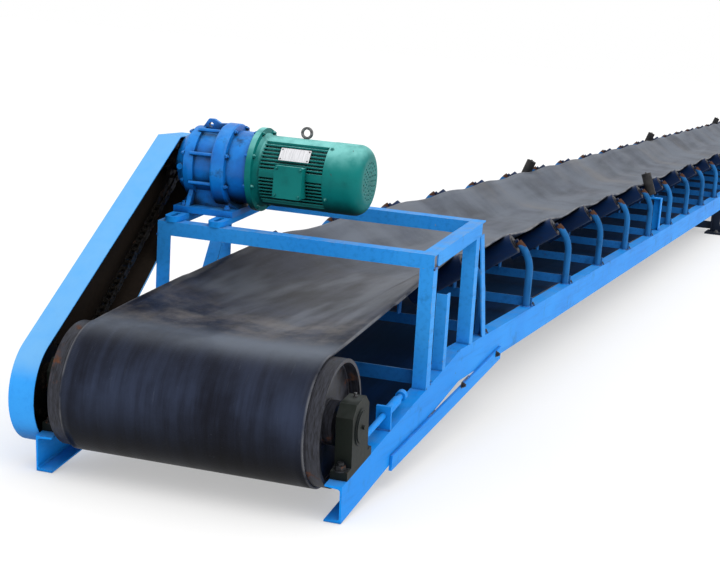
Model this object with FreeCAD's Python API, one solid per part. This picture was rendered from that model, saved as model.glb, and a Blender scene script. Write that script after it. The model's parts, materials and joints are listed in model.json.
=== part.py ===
# Troughed belt conveyor: a dipped head section with a chain drive over it, and a long level main section.
# Millimetres. x runs from the head to the tail and is 0 at the knee between the two sections,
# y points to the drive side, and z is 0 on the floor. Each part is moved to the first support at the end.
import FreeCAD, Part
import math
import os
from FreeCAD import Vector

# The belt sets the width of everything: flange tips stand clear of its edges
BELT_W = 800.0
BELT_T = 6.0
BELT_SIDE_ROOM = 55.0

# Frame channels, flanges turned inwards
CHANNEL_H = 120.0
CHANNEL_B = 55.0
CHANNEL_WEB = 6.0
FLANGE_TIP = 5.5
FLANGE_ROOT = 9.5
ROOT_CORNER = 5.0
HEAD_L = 1319.0
HEAD_DIP = 9.45
NOSE_SLOT_L = 90.0
NOSE_SLOT_W = 14.0
NOSE_SLOT_IN = 70.0
TAIL_OVERHANG = 420.0
ANGLE_B = 50.0
ANGLE_T = 5.0
CROSS_B = 40.0
HEAD_BAR_S = 400.0
TIE_START = -830.0
TIE_END = 620.0
TIE_DROP_START = 155.0
TIE_DROP_END = 12.0
TIE_H = 50.0
TIE_T = 10.0

# Belt run and drums
BELT_RISE = 268.0
RETURN_RISE = 62.0
TROUGH_ANGLE = 35.0
DRUM_R = 200.0
DRUM_END_GAP = 10.0
DRUM_WALL = 12.0
DRUM_INSET = 40.0
DRUM_S = 1159.0
DRUM_RISE = 254.6
SHAFT_R = 32.0
TAIL_DRUM_R = 200.0
TAIL_SHAFT_R = 22.0
TAIL_HUB_R = 37.0
TAIL_GAP = 1150.0
BELT_PLAY = 0.3

# Carrying idlers: one centre roll and two wing rolls on each cross angle
IDLER_FIRST = 349.0
IDLER_PITCH = 843.0
IDLER_COUNT = 19
ROLL_R = 44.5
ROLL_SHAFT_R = 10.0
CENTRE_ROLL_L = 305.0
CENTRE_FLAT = 315.0
WING_ROLL_PAST = 27.5
WING_ROLL_GAP = 20.0
ARM_R = 16.0
ARM_IN = 28.0
ARM_BEND_RISE = 121.0
ARM_DROP = 6.0

# Return rolls
RETURN_ROLL_R = 30.0
RETURN_ROLL_PAST = 30.0
RETURN_FIRST = 600.0
RETURN_PITCH = 2529.0
RETURN_COUNT = 7
RETURN_BEND = 6.0

# Guide rollers that stand beside the belt edges
GUIDE_AFTER = (5, 11, 17)
GUIDE_R = 30.0
GUIDE_L = 140.0
GUIDE_LEAN = 20.0
GUIDE_EDGE_GAP = 37.4
GUIDE_EDGE_DROP = 5.0
GUIDE_PIN_R = 9.0
RUNNING_FIT = 0.05

# Supports
LEG_FIRST = 8500.0
LEG_PITCH = 3900.0
LEG_COUNT = 3
LEG_POST_B = 90.0
LEG_POST_T = 10.0
FOOT_L = 240.0
FOOT_B = 180.0
FOOT_T = 14.0
ANCHOR_R = 9.0
ANCHOR_SPACING = 180.0

# Drive table, square to itself and tilted up towards the tail
TABLE_X = -500.0
TABLE_RISE = 518.0
TABLE_L = 690.0
TABLE_TILT = 5.2
BRACE_SPREAD = 185.0
DRIVE_BRACE_SPREAD = -400.0
DRIVE_BRACE_T = 7.0
STUB_L = 262.0
STUB_AFTER = 205.0
RAIL_H = 20.0
RAIL_B = 60.0
RAILS_IN = (215.0, 50.0)
RAIL_PAST = 6.0
RAIL_SLOT_W = 16.0
RAIL_SLOT_L = 70.0

# Drive: reducer, sprockets and chain
DRIVE_ALONG = 237.0
OUTPUT_BORE_IN = 10.0
REDUCER_H = 160.0
REDUCER_FOOT_IN = (19.0, 246.0)
REDUCER_FOOT_B = 300.0
STUD_COUNT = 8
REDUCER_BASE_H = 22.0
CHAIN_PITCH = 31.75
DRIVE_TEETH = 12
DRUM_TEETH = 23
SPROCKET_T = 15.2
TOOTH_OUT = 8.0
TOOTH_IN = 9.9
CHAIN_BESIDE = 50.0
CHAIN_LINKS = 88
PLATE_H = 25.0
PLATE_T = 3.0
PLATE_POINT = 0.92
PLATE_LAP = 3.0
ROLL_CLEAR = 110.0
PLATE_GAP = 16.6
CHAIN_ROLL_R = 9.5

# Motor
MOTOR_R = 125.0
MOTOR_CORE_R = 106.0
FIN_PITCH = 12.0
FIN_COUNT = 17
FIN_T = 4.5
COWL_R = 126.0
COWL_T = 3.0
COWL_ROUND = 46.0
COWL_HOLES = ((18, 6), (34, 11), (50, 16), (66, 21))
COWL_HOLE_R = 4.5

# Chain guard
SEAT = 0.3
GUARD_DEPTH = 88.0
GUARD_T = 3.0
GUARD_END_R = 181.0
GUARD_END_AFTER = 15.0
GUARD_END_DROP = 29.0
GUARD_TOP = 89.0
GUARD_CORNER = -70.0
GUARD_BACK = 140.0
GUARD_LOW = -69.0

# Head bearings and their jack screws
BEARING_IN = 26.0
BEARING_T = 54.0
BEARING_L = 156.0
BEARING_BASE_L = 230.0
BEARING_BASE_H = 28.0
BEARING_TOP = 86.0
LUG_S = 836.0
SCREW_R = 10.0
SCREW_SLEEVE_R = 16.0

HALF = BELT_W / 2 + BELT_SIDE_ROOM + CHANNEL_B
WIDTH = 2 * HALF
DIP = math.radians(HEAD_DIP)
KNEE_Z = HEAD_L * math.sin(DIP)
BELT_Z = KNEE_Z + BELT_RISE
RETURN_Z = KNEE_Z + RETURN_RISE
CHANNEL_TOP = KNEE_Z + CHANNEL_H
FLANGE_IN = HALF - CHANNEL_B
ARM_Y = HALF - ARM_IN
BEARING_Y = HALF - BEARING_IN
CHAIN_Y = HALF + CHAIN_BESIDE
DRUM_FACE = 2 * (FLANGE_IN - DRUM_END_GAP)
WING_W = (BELT_W - CENTRE_FLAT) / 2
WING_ROLL_L = WING_W + WING_ROLL_PAST - WING_ROLL_GAP
RETURN_ROLL_L = BELT_W + 2 * RETURN_ROLL_PAST
FOLD = math.radians(TROUGH_ANGLE)
GUIDE_Y = CENTRE_FLAT / 2 + WING_W * math.cos(FOLD) + GUIDE_EDGE_GAP
GUIDE_Z = BELT_RISE + WING_W * math.sin(FOLD) - GUIDE_EDGE_DROP
LAST_IDLER = IDLER_FIRST + IDLER_PITCH * (IDLER_COUNT - 1)
TAIL_X = LAST_IDLER + TAIL_GAP
TAIL_Z = BELT_Z - TAIL_DRUM_R - BELT_PLAY
TAIL_END = TAIL_X + TAIL_OVERHANG
DRUM_X = -DRUM_S * math.cos(DIP) - DRUM_RISE * math.sin(DIP)
DRUM_Z = KNEE_Z - DRUM_S * math.sin(DIP) + DRUM_RISE * math.cos(DIP)
TILT = math.radians(TABLE_TILT)
AXIS_H = RAIL_H + REDUCER_H
DRIVE_X = TABLE_X + DRIVE_ALONG * math.cos(TILT) - AXIS_H * math.sin(TILT)
DRIVE_Z = KNEE_Z + TABLE_RISE + DRIVE_ALONG * math.sin(TILT) + AXIS_H * math.cos(TILT)
DRUM_PITCH_R = CHAIN_PITCH / 2 / math.sin(math.pi / DRUM_TEETH)
DRIVE_PITCH_R = CHAIN_PITCH / 2 / math.sin(math.pi / DRIVE_TEETH)
BELT_IN_R = DRUM_R + BELT_PLAY
TAIL_IN_R = TAIL_DRUM_R + BELT_PLAY
Y_AXIS = Vector(0, 1, 0)

nodes = {}


def box(x0, x1, y0, y1, z0, z1):
    return Part.makeBox(x1 - x0, y1 - y0, z1 - z0, Vector(x0, y0, z0))


def rod(start, end, radius):
    start, end = Vector(*start), Vector(*end)
    return Part.makeCylinder(radius, (end - start).Length, start, end - start)


def prism_xz(points, y0, y1):
    wire = Part.makePolygon([Vector(x, y0, z) for x, z in points + points[:1]])
    return Part.Face(wire).extrude(Vector(0, y1 - y0, 0))


def polygon_y(x, z, radius, sides, y0, y1):
    # Regular prism along y about (x, z).
    turns = [2 * math.pi * k / sides for k in range(sides)]
    return prism_xz([(x + radius * math.cos(a), z + radius * math.sin(a)) for a in turns], y0, y1)


def prism_yz(points, x0, x1):
    wire = Part.makePolygon([Vector(x0, y, z) for y, z in points + points[:1]])
    return Part.Face(wire).extrude(Vector(x1 - x0, 0, 0))


def turned(profile, axis_point, direction=Y_AXIS):
    # Revolves (radius, distance along the axis) points about an axis through axis_point.
    wire = Part.makePolygon([Vector(r, d, 0) for r, d in profile + profile[:1]])
    solid = Part.Face(wire).revolve(Vector(), Y_AXIS, 360)
    solid.Placement = FreeCAD.Placement(Vector(*axis_point), FreeCAD.Rotation(Y_AXIS, direction))
    return solid


def rim_rounded(shape, rim_r, y, radius):
    # Rounds the circular edges of radius rim_r about the y axis that lie in the plane y.
    rims = [e for e in shape.Edges if isinstance(e.Curve, Part.Circle) and abs(e.Curve.Radius - rim_r) < 0.01
            and abs(e.Curve.Center.y - y) < 0.01]
    return shape.makeFillet(radius, rims)


def fuse(shapes):
    whole = shapes[0].multiFuse(shapes[1:]) if len(shapes) > 1 else shapes[0]
    return whole.removeSplitter()


def cut(shape, tools):
    return shape.cut(Part.makeCompound(tools))


def mirrored(shape):
    return shape.mirror(Vector(), Y_AXIS)


def both_sides(shape):
    return [shape, mirrored(shape)]


def tilted(shape, degrees, x, z):
    # Moves a shape drawn at its own origin to (x, z) and turns it so that its +x end rises.
    shape = shape.copy()
    shape.rotate(Vector(), Y_AXIS, -degrees)
    shape.translate(Vector(x, 0, z))
    return shape


def on_head(shape):
    return tilted(shape, HEAD_DIP, 0, KNEE_Z)


def on_table(shape):
    return tilted(shape, TABLE_TILT, TABLE_X, KNEE_Z + TABLE_RISE)


def node(name, shapes):
    nodes[name] = shapes if isinstance(shapes, list) else [shapes]


def channel(x0, x1, base):
    # Right-hand channel with its web outside and its flanges turned to the belt.
    y = -HALF
    web, tip = y + CHANNEL_WEB, y + CHANNEL_B
    lower = [(tip, FLANGE_TIP), (web + ROOT_CORNER, FLANGE_ROOT), (web, FLANGE_ROOT + ROOT_CORNER)]
    upper = [(a, CHANNEL_H - b) for a, b in reversed(lower)]
    outline = [(y, 0), (tip, 0)] + lower + upper + [(tip, CHANNEL_H), (y, CHANNEL_H)]
    return prism_yz([(a, base + b) for a, b in outline], x0, x1)


def angle_bar_y(y0, y1, faces, size):
    # Angle along y with its standing leg in the plane x = 0 and its flat leg on z = 0.
    outline = [(0, 0), (faces * size, 0), (faces * size, ANGLE_T), (faces * ANGLE_T, ANGLE_T),
               (faces * ANGLE_T, size), (0, size)]
    return prism_xz(outline, y0, y1)


def make_side_channels():
    lean = math.tan(DIP / 2)
    reach = 2 * CHANNEL_H
    for_head = Part.Face(Part.makePolygon([
        Vector(0, -WIDTH, 0), Vector(reach * lean, -WIDTH, reach), Vector(WIDTH, -WIDTH, reach),
        Vector(WIDTH, -WIDTH, -reach), Vector(-reach * lean, -WIDTH, -reach), Vector(0, -WIDTH, 0)]))
    head = channel(-HEAD_L, CHANNEL_H, 0).cut(for_head.extrude(Vector(0, 2 * WIDTH, 0)))
    slot_x = -HEAD_L + NOSE_SLOT_IN
    slot_y = -HALF + CHANNEL_B / 2 + CHANNEL_WEB / 2
    slot = box(slot_x, slot_x + NOSE_SLOT_L, slot_y - NOSE_SLOT_W / 2, slot_y + NOSE_SLOT_W / 2,
               CHANNEL_H - 2 * FLANGE_ROOT, CHANNEL_H + FLANGE_ROOT)
    head = on_head(head.cut(slot))
    for_main = Part.Face(Part.makePolygon([
        Vector(0, -WIDTH, 0), Vector(-reach * lean, -WIDTH, reach), Vector(-WIDTH, -WIDTH, reach),
        Vector(-WIDTH, -WIDTH, -reach), Vector(reach * lean, -WIDTH, -reach), Vector(0, -WIDTH, 0)]))
    main = channel(-CHANNEL_H, TAIL_END, 0).cut(for_main.extrude(Vector(0, 2 * WIDTH, 0)))
    main.translate(Vector(0, 0, KNEE_Z))
    node("head_channel_right", head)
    node("head_channel_left", mirrored(head))
    node("main_channel_right", main)
    node("main_channel_left", mirrored(main))


def make_tie_bars():
    start, end = KNEE_Z - TIE_DROP_START, KNEE_Z - TIE_DROP_END
    bar = prism_xz([(TIE_START, start), (TIE_END, end), (TIE_END, end + TIE_H), (TIE_START, start + TIE_H)],
                   -HALF - TIE_T, -HALF)
    node("knee_tie_bars", both_sides(bar))


def idler_x(index):
    return IDLER_FIRST + IDLER_PITCH * index


def make_cross_angles():
    places = [idler_x(i) for i in range(IDLER_COUNT)] + [TAIL_END - CROSS_B - ARM_R]
    bars = []
    for x in places:
        bar = angle_bar_y(-HALF + CHANNEL_WEB, HALF - CHANNEL_WEB, 1, CROSS_B)
        bar.translate(Vector(x + ARM_R, 0, CHANNEL_TOP))
        bars.append(bar)
    node("cross_angles", bars)
    head_bar = angle_bar_y(-HALF + CHANNEL_WEB, HALF - CHANNEL_WEB, 1, ANGLE_B)
    head_bar.translate(Vector(-HEAD_BAR_S, 0, CHANNEL_H))
    node("head_cross_angle", on_head(head_bar))


def wing_frame(side):
    # Point and directions of a wing roll: along the wing, and square to it away from the belt.
    along = Vector(0, side * math.cos(FOLD), math.sin(FOLD))
    away = Vector(0, side * math.sin(FOLD), -math.cos(FOLD))
    corner = Vector(0, side * CENTRE_FLAT / 2, BELT_Z)
    return corner, along, away


def make_idlers():
    arms, posts = [], []
    rolls = {"centre_rolls": [], "wing_rolls_left": [], "wing_rolls_right": []}
    roll_z = BELT_Z - ROLL_R - BELT_PLAY
    corner, along, away = wing_frame(-1)
    wing_start = corner + along * WING_ROLL_GAP + away * (ROLL_R + BELT_PLAY)
    wing_end = wing_start + along * WING_ROLL_L
    tip = wing_end + along * (ARM_R + 6) - Vector(0, 0, ARM_DROP)
    for i in range(IDLER_COUNT):
        x = idler_x(i)
        centre = [rod((x, -CENTRE_ROLL_L / 2, roll_z), (x, CENTRE_ROLL_L / 2, roll_z), ROLL_R)]
        half_shaft = CENTRE_ROLL_L / 2 + 12
        centre.append(rod((x, -half_shaft, roll_z), (x, half_shaft, roll_z), ROLL_SHAFT_R))
        rolls["centre_rolls"].append(fuse(centre))
        start, end = wing_start + Vector(x, 0, 0), wing_end + Vector(x, 0, 0)
        wing = fuse([rod(start, end, ROLL_R), rod(start - along * 10, end + along * (ARM_R + 6), ROLL_SHAFT_R)])
        rolls["wing_rolls_right"].append(wing)
        rolls["wing_rolls_left"].append(mirrored(wing))
        arm = idler_arm(x, tip)
        arms += both_sides(cut(arm, [wing]))
        post_y = half_shaft - 8
        post = box(x - 20, x + ARM_R + ANGLE_T, -post_y - 6, -post_y, CHANNEL_TOP + CROSS_B, roll_z + 22)
        shaft_hole = rod((x, -WIDTH, roll_z), (x, WIDTH, roll_z), ROLL_SHAFT_R)
        posts += both_sides(post.cut(shaft_hole).cut(wing))
    for name, shapes in rolls.items():
        node(name, shapes)
    node("idler_arms", arms)
    node("idler_posts", posts)


def idler_arm(x, tip):
    # Bent round bar: straight up from the channel flange, then an arc inwards to the shaft end of a wing roll.
    run, rise = tip.y + ARM_Y, ARM_BEND_RISE
    radius = (run * run + rise * rise) / (2 * run)
    sweep = math.asin(rise / radius)

    def on_arc(a):
        return Vector(x, -ARM_Y + radius * (1 - math.cos(a)), tip.z - rise + radius * math.sin(a))

    foot = Vector(x, -ARM_Y, CHANNEL_TOP)
    bend = Part.Arc(on_arc(0), on_arc(sweep / 2), on_arc(sweep)).toShape()
    path = Part.Wire([Part.LineSegment(foot, on_arc(0)).toShape(), bend])
    ring = Part.Wire([Part.Circle(foot, Vector(0, 0, 1), ARM_R).toShape()])
    return path.makePipeShell([ring], True, True)


def make_return_rolls():
    rolls = []
    z = RETURN_Z - RETURN_ROLL_R - BELT_PLAY
    for i in range(RETURN_COUNT):
        x = RETURN_FIRST + RETURN_PITCH * i
        half = RETURN_ROLL_L / 2
        shaft_end = HALF - CHANNEL_WEB
        rolls.append(fuse([rod((x, -half, z), (x, half, z), RETURN_ROLL_R),
                           rod((x, -shaft_end, z), (x, shaft_end, z), ROLL_SHAFT_R)]))
    node("return_rolls", rolls)


def trough_section(x, open_angle, z_low, thickness=BELT_T):
    # Closed outline of the belt at x, its two edges folded up by open_angle.
    a = math.radians(open_angle)
    flat = CENTRE_FLAT / 2
    wing = (BELT_W - CENTRE_FLAT) / 2
    under = [(-flat, 0), (flat, 0), (flat + wing * math.cos(a), wing * math.sin(a))]
    top_flat = flat - thickness * math.tan(a / 2)
    rise = Vector(0, -math.sin(a), math.cos(a)) * thickness
    tip = (under[2][0] + rise.y, under[2][1] + rise.z)
    right = [under[1], under[2], tip, (top_flat, thickness)]
    left = [(-y, z) for y, z in reversed(right)]
    points = [Vector(x, y, z_low + z) for y, z in right + left]
    return Part.makePolygon(points + points[:1])


def make_belt():
    drum_top = DRUM_Z + BELT_IN_R
    main = Part.Face(trough_section(IDLER_FIRST, TROUGH_ANGLE, BELT_Z))
    node("belt_trough", main.extrude(Vector(LAST_IDLER - IDLER_FIRST, 0, 0)))
    head = [trough_section(DRUM_X, 0.01, drum_top), trough_section(IDLER_FIRST, TROUGH_ANGLE, BELT_Z)]
    node("belt_head_transition", Part.makeLoft(head, True, True))
    tail_top = TAIL_Z + TAIL_IN_R
    tail = [trough_section(LAST_IDLER, TROUGH_ANGLE, BELT_Z), trough_section(TAIL_X, 0.01, tail_top)]
    node("belt_tail_transition", Part.makeLoft(tail, True, True))
    head_bend = RETURN_FIRST - RETURN_BEND
    tail_bend = RETURN_FIRST + RETURN_PITCH * (RETURN_COUNT - 1) + RETURN_BEND
    head_lift = return_touch(DRUM_X, DRUM_Z, BELT_IN_R, head_bend)
    tail_lift = return_touch(TAIL_X, TAIL_Z, TAIL_IN_R, tail_bend)
    node("belt_head_wrap", wrap(DRUM_X, DRUM_Z, BELT_IN_R, -1, head_lift))
    node("belt_tail_wrap", wrap(TAIL_X, TAIL_Z, TAIL_IN_R, 1, tail_lift))
    half = BELT_W / 2
    node("belt_return", box(head_bend, tail_bend, -half, half, RETURN_Z, RETURN_Z + BELT_T))
    node("belt_return_head", sloping_strand(DRUM_X, DRUM_Z, BELT_IN_R, head_bend))
    node("belt_return_tail", sloping_strand(TAIL_X, TAIL_Z, TAIL_IN_R, tail_bend))


def return_touch(cx, cz, radius, bend_x):
    # Angle from straight down, towards the return roll, at which the strand leaves the drum.
    dx, dz = abs(bend_x - cx), RETURN_Z + BELT_T - cz
    reach = math.hypot(dx, dz)
    return math.atan2(dz, dx) + math.asin(radius / reach)


def leave_point(cx, cz, radius, bend_x):
    a = return_touch(cx, cz, radius, bend_x)
    side = 1 if bend_x > cx else -1
    return (cx + side * radius * math.sin(a), cz - radius * math.cos(a))


def sloping_strand(cx, cz, radius, bend_x):
    inner = leave_point(cx, cz, radius, bend_x)
    a = return_touch(cx, cz, radius, bend_x)
    side = 1 if bend_x > cx else -1
    outer = (inner[0] + side * BELT_T * math.sin(a), inner[1] - BELT_T * math.cos(a))
    return prism_xz([inner, (bend_x, RETURN_Z + BELT_T), (bend_x, RETURN_Z), outer], -BELT_W / 2, BELT_W / 2)


def wrap(cx, cz, radius, side, lift):
    # Belt bent round a drum from its top to where the return strand leaves it.
    outer = radius + BELT_T
    turn = math.pi - lift
    half = BELT_W / 2

    def arc(r):
        def at(a):
            return Vector(cx + side * r * math.sin(a), -half, cz + r * math.cos(a))
        return at(0), Part.Arc(at(0), at(turn / 2), at(turn)).toShape(), at(turn)

    in_top, in_arc, in_end = arc(radius)
    out_top, out_arc, out_end = arc(outer)
    wire = Part.Wire(Part.__sortEdges__([in_arc, out_arc, Part.makeLine(in_top, out_top),
                                         Part.makeLine(in_end, out_end)]))
    return Part.Face(wire).extrude(Vector(0, BELT_W, 0))


def drum(cx, cz, radius, shaft_r, out_right, out_left):
    # Open-ended drum with a disc set in at each end, drawn as one turned solid with its shaft.
    half = DRUM_FACE / 2
    inset = half - DRUM_INSET
    hub = shaft_r + 38
    hub_end = half - 6
    inner = radius - DRUM_WALL
    profile = [(0, -out_right), (shaft_r, -out_right), (shaft_r, -hub_end), (hub, -hub_end), (hub, -inset),
               (inner, -inset), (inner, -half), (radius, -half), (radius, half), (inner, half), (inner, inset),
               (hub, inset), (hub, hub_end), (shaft_r, hub_end), (shaft_r, out_left), (0, out_left)]
    return turned(profile, (cx, 0, cz))


def make_drums():
    node("head_drum", drum(DRUM_X, DRUM_Z, DRUM_R, SHAFT_R, BEARING_Y + BEARING_T / 2 - 4, CHAIN_Y + 22))
    out = HALF - CHANNEL_WEB - 4
    node("tail_drum", drum(TAIL_X, TAIL_Z, TAIL_DRUM_R, TAIL_SHAFT_R, out, out))


def bearing_block():
    # Split housing on the channel flange, drawn at its shaft centre and square to the head section.
    half = BEARING_L / 2
    base = DRUM_RISE - CHANNEL_H
    chamfer = 34.0
    body = [(-half, -base + BEARING_BASE_H), (-half, BEARING_TOP - chamfer), (-half + chamfer, BEARING_TOP),
            (half - chamfer, BEARING_TOP), (half, BEARING_TOP - chamfer), (half, -base + BEARING_BASE_H)]
    y0, y1 = -BEARING_Y - BEARING_T / 2, -BEARING_Y + BEARING_T / 2
    foot = box(-BEARING_BASE_L / 2, BEARING_BASE_L / 2, y0, y1, -base, -base + BEARING_BASE_H)
    block = fuse([prism_xz(body, y0, y1), foot])
    bore = rod((0, y0 - 1, 0), (0, y1 + 1, 0), SHAFT_R + RUNNING_FIT)
    return block.cut(bore)


def make_head_bearings():
    block = bearing_block()
    block.translate(Vector(-DRUM_S, 0, DRUM_RISE))
    right = on_head(block)
    node("head_bearing_right", right)
    node("head_bearing_left", mirrored(right))
    lug_h = 82.0
    screw_z = CHANNEL_H + 50
    lug = box(-LUG_S - 6, -LUG_S + 6, -BEARING_Y - 25, -BEARING_Y + 25, CHANNEL_H, CHANNEL_H + lug_h)
    sleeve = rod((-LUG_S, -BEARING_Y, screw_z), (-LUG_S + 140, -BEARING_Y, screw_z), SCREW_SLEEVE_R)
    screw = rod((-DRUM_S + BEARING_L / 2, -BEARING_Y, screw_z), (-LUG_S + 215, -BEARING_Y, screw_z), SCREW_R)
    nut = rod((-LUG_S + 178, -BEARING_Y, screw_z), (-LUG_S + 202, -BEARING_Y, screw_z), 18)
    node("jack_screws", both_sides(on_head(fuse([lug, sleeve, screw, nut]))))


def make_table():
    end = TABLE_L
    inner = HALF - ANGLE_B
    front = prism_xz([(0, 0), (0, -ANGLE_B), (ANGLE_T, -ANGLE_B), (ANGLE_T, -ANGLE_T), (ANGLE_B, -ANGLE_T),
                      (ANGLE_B, 0)], -HALF, HALF)
    rear = prism_xz([(end - ANGLE_B, 0), (end, 0), (end, -ANGLE_T), (end - ANGLE_B + ANGLE_T, -ANGLE_T),
                     (end - ANGLE_B + ANGLE_T, -ANGLE_B), (end - ANGLE_B, -ANGLE_B)], -HALF, HALF)
    side = prism_yz([(-HALF, 0), (-inner, 0), (-inner, -ANGLE_T), (-HALF + ANGLE_T, -ANGLE_T),
                     (-HALF + ANGLE_T, -ANGLE_B), (-HALF, -ANGLE_B)], ANGLE_B, end - ANGLE_B)
    node("table_front_bar", on_table(front))
    node("table_rear_bar", on_table(rear))
    node("table_side_bars", both_sides(on_table(side)))
    head_body = head_space()
    leg = leg_angle(0, -ANGLE_B)
    node("table_front_legs", both_sides(on_table(leg).cut(head_body)))
    rear_x = end - ANGLE_B - 70
    rear_leg = leg_angle(rear_x, -ANGLE_B)
    node("table_rear_legs", both_sides(on_table(rear_leg).cut(head_body)))
    brace = brace_bar(rear_x + ANGLE_B + 14, BRACE_SPREAD, ANGLE_B)
    node("table_braces", [on_table(bar).cut(head_body) for bar in (brace, drive_brace(rear_x))])
    stub_top = -TABLE_RISE + STUB_L + CHANNEL_H * 0.62
    node("stub_posts", on_table(leg_angle(STUB_AFTER, stub_top, 40)).cut(head_body))
    node("slide_rails", [on_table(slide_rail(HALF - inwards)) for inwards in RAILS_IN])


def brace_bar(top, spread, width):
    # Flat bar outside the rear leg on the right, from under the table down to where it meets the channel.
    drop = TABLE_RISE * 1.2
    foot = top + spread
    return prism_xz([(top, -ANGLE_B), (top + width, -ANGLE_B), (foot + width, -drop), (foot, -drop)],
                    -HALF, -HALF + ANGLE_T)


def drive_brace(top):
    # Angle on the drive side that leans forward from the rear leg, one face to the head and one outwards.
    foot, drop = top + DRIVE_BRACE_SPREAD, TABLE_RISE * 1.2
    front = [(top - DRIVE_BRACE_T, -ANGLE_B), (foot - DRIVE_BRACE_T, -drop)]
    face = prism_xz(front + [(foot, -drop), (top, -ANGLE_B)], HALF - ANGLE_B, HALF)
    outside = prism_xz(front + [(foot + ANGLE_B, -drop), (top + ANGLE_B, -ANGLE_B)], HALF - ANGLE_T, HALF)
    return fuse([face, outside]).cut(box(top, top + 2 * ANGLE_B, 0, HALF, -drop, 0))


def slide_rail(y):
    # Flat bar over both table bars, with a round front end and a slot for its bolt at each end.
    front, back = -RAIL_PAST + RAIL_B / 2, TABLE_L - 2
    bar = fuse([box(front, back, y - RAIL_B / 2, y + RAIL_B / 2, 0, RAIL_H),
                rod((front, y, 0), (front, y, RAIL_H), RAIL_B / 2)])
    half = RAIL_SLOT_W / 2
    slots = []
    for start in (front - half, back - RAIL_B / 2 - RAIL_SLOT_L + 2 * half):
        end = start + RAIL_SLOT_L - 2 * half
        slots += [box(start, end, y - half, y + half, -1, RAIL_H + 1),
                  rod((start, y, -1), (start, y, RAIL_H + 1), half), rod((end, y, -1), (end, y, RAIL_H + 1), half)]
    return bar.cut(fuse(slots))


def leg_angle(x, top, size=ANGLE_B):
    # Angle standing below the table, one face to the head and one outwards.
    y = -HALF
    drop = TABLE_RISE * 1.3
    outline = [(x, y), (x + size, y), (x + size, y + ANGLE_T), (x + ANGLE_T, y + ANGLE_T),
               (x + ANGLE_T, y + size), (x, y + size)]
    wire = Part.makePolygon([Vector(a, b, top) for a, b in outline + outline[:1]])
    return Part.Face(wire).extrude(Vector(0, 0, -drop))


def head_space():
    # Everything below the top of the channels, which trims what stands on them.
    below = 2 * CHANNEL_H
    head_top = on_head(box(-2 * HEAD_L, CHANNEL_H * math.tan(DIP / 2), -WIDTH, WIDTH, -below * 4, CHANNEL_H))
    main_top = box(-CHANNEL_H * math.tan(DIP / 2), 2 * HEAD_L, -WIDTH, WIDTH, -4 * below, CHANNEL_TOP)
    return head_top.fuse(main_top)


# Reducer profile from its output face to the motor: distance inside the channel web, radius
REDUCER_PROFILE = (
    (-10, 70), (2, 72), (5, 96), (20, 108), (40, 118), (42, 133), (60, 134), (78, 133), (80, 121),
    (150, 121), (153, 150), (160, 154), (198, 154), (204, 150), (207, 131), (282, 129), (284.5, 150))
MOTOR_PROFILE = (
    (284.8, 150), (306, 150), (308, 132), (318, 122), (330, 117), (332, MOTOR_CORE_R), (564, MOTOR_CORE_R))
COWL_START, COWL_END = 564.3, 700.0


def profile_solid(rows):
    # Turned solid about the drive axis from rows of (distance inside the web, radius).
    points = [(r, HALF - inwards) for inwards, r in rows]
    return turned(points + [(0, points[-1][1]), (0, points[0][1])], (0, 0, 0))


def at_drive_axis(shape, degrees=0.0):
    shape = shape.copy()
    shape.rotate(Vector(), Y_AXIS, -degrees)
    shape.translate(Vector(DRIVE_X, 0, DRIVE_Z))
    return shape


def make_reducer():
    bore = rod((0, HALF - OUTPUT_BORE_IN, 0), (0, HALF + BELT_SIDE_ROOM, 0), SHAFT_R)
    body = profile_solid(REDUCER_PROFILE).cut(bore)
    base = -REDUCER_H
    seat = base + REDUCER_BASE_H
    y1, y0 = (HALF - inwards for inwards in REDUCER_FOOT_IN)
    stand = prism_yz([(y0 + 6, base), (y0 + 6, seat), (y0 + 84, -90), (y0 + 84, -40), (y1 - 36, -40),
                      (y1 - 36, -90), (y1 - 6, seat), (y1 - 6, base)], -88, 88)
    feet = box(-REDUCER_FOOT_B / 2, REDUCER_FOOT_B / 2, y0, y1, base, seat)
    side_web = prism_xz([(-REDUCER_FOOT_B / 2 + 12, seat), (REDUCER_FOOT_B / 2 - 12, seat), (92, -60), (-92, -60)],
                        y1 - 56, y1 - 40)
    studs = []
    for i in range(STUD_COUNT):
        a = 2 * math.pi * (i + 0.5) / STUD_COUNT
        spot = (138 * math.sin(a), 138 * math.cos(a))
        studs.append(rod((spot[0], HALF - 192, spot[1]), (spot[0], HALF - 66, spot[1]), 7))
    lug = prism_yz([(HALF - 48, 100), (HALF - 60, 128), (HALF - 84, 163), (HALF - 104, 163), (HALF - 128, 150),
                    (HALF - 156, 152), (HALF - 156, 100)], -8, 8)
    eye = rod((-9, HALF - 94, 142), (9, HALF - 94, 142), 9)
    plug = rod((-128, HALF - 28, 0), (-104, HALF - 28, 0), 11)
    node("reducer", at_drive_axis(fuse([body, stand, feet, side_web, lug.cut(eye), plug] + studs), TABLE_TILT))


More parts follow.
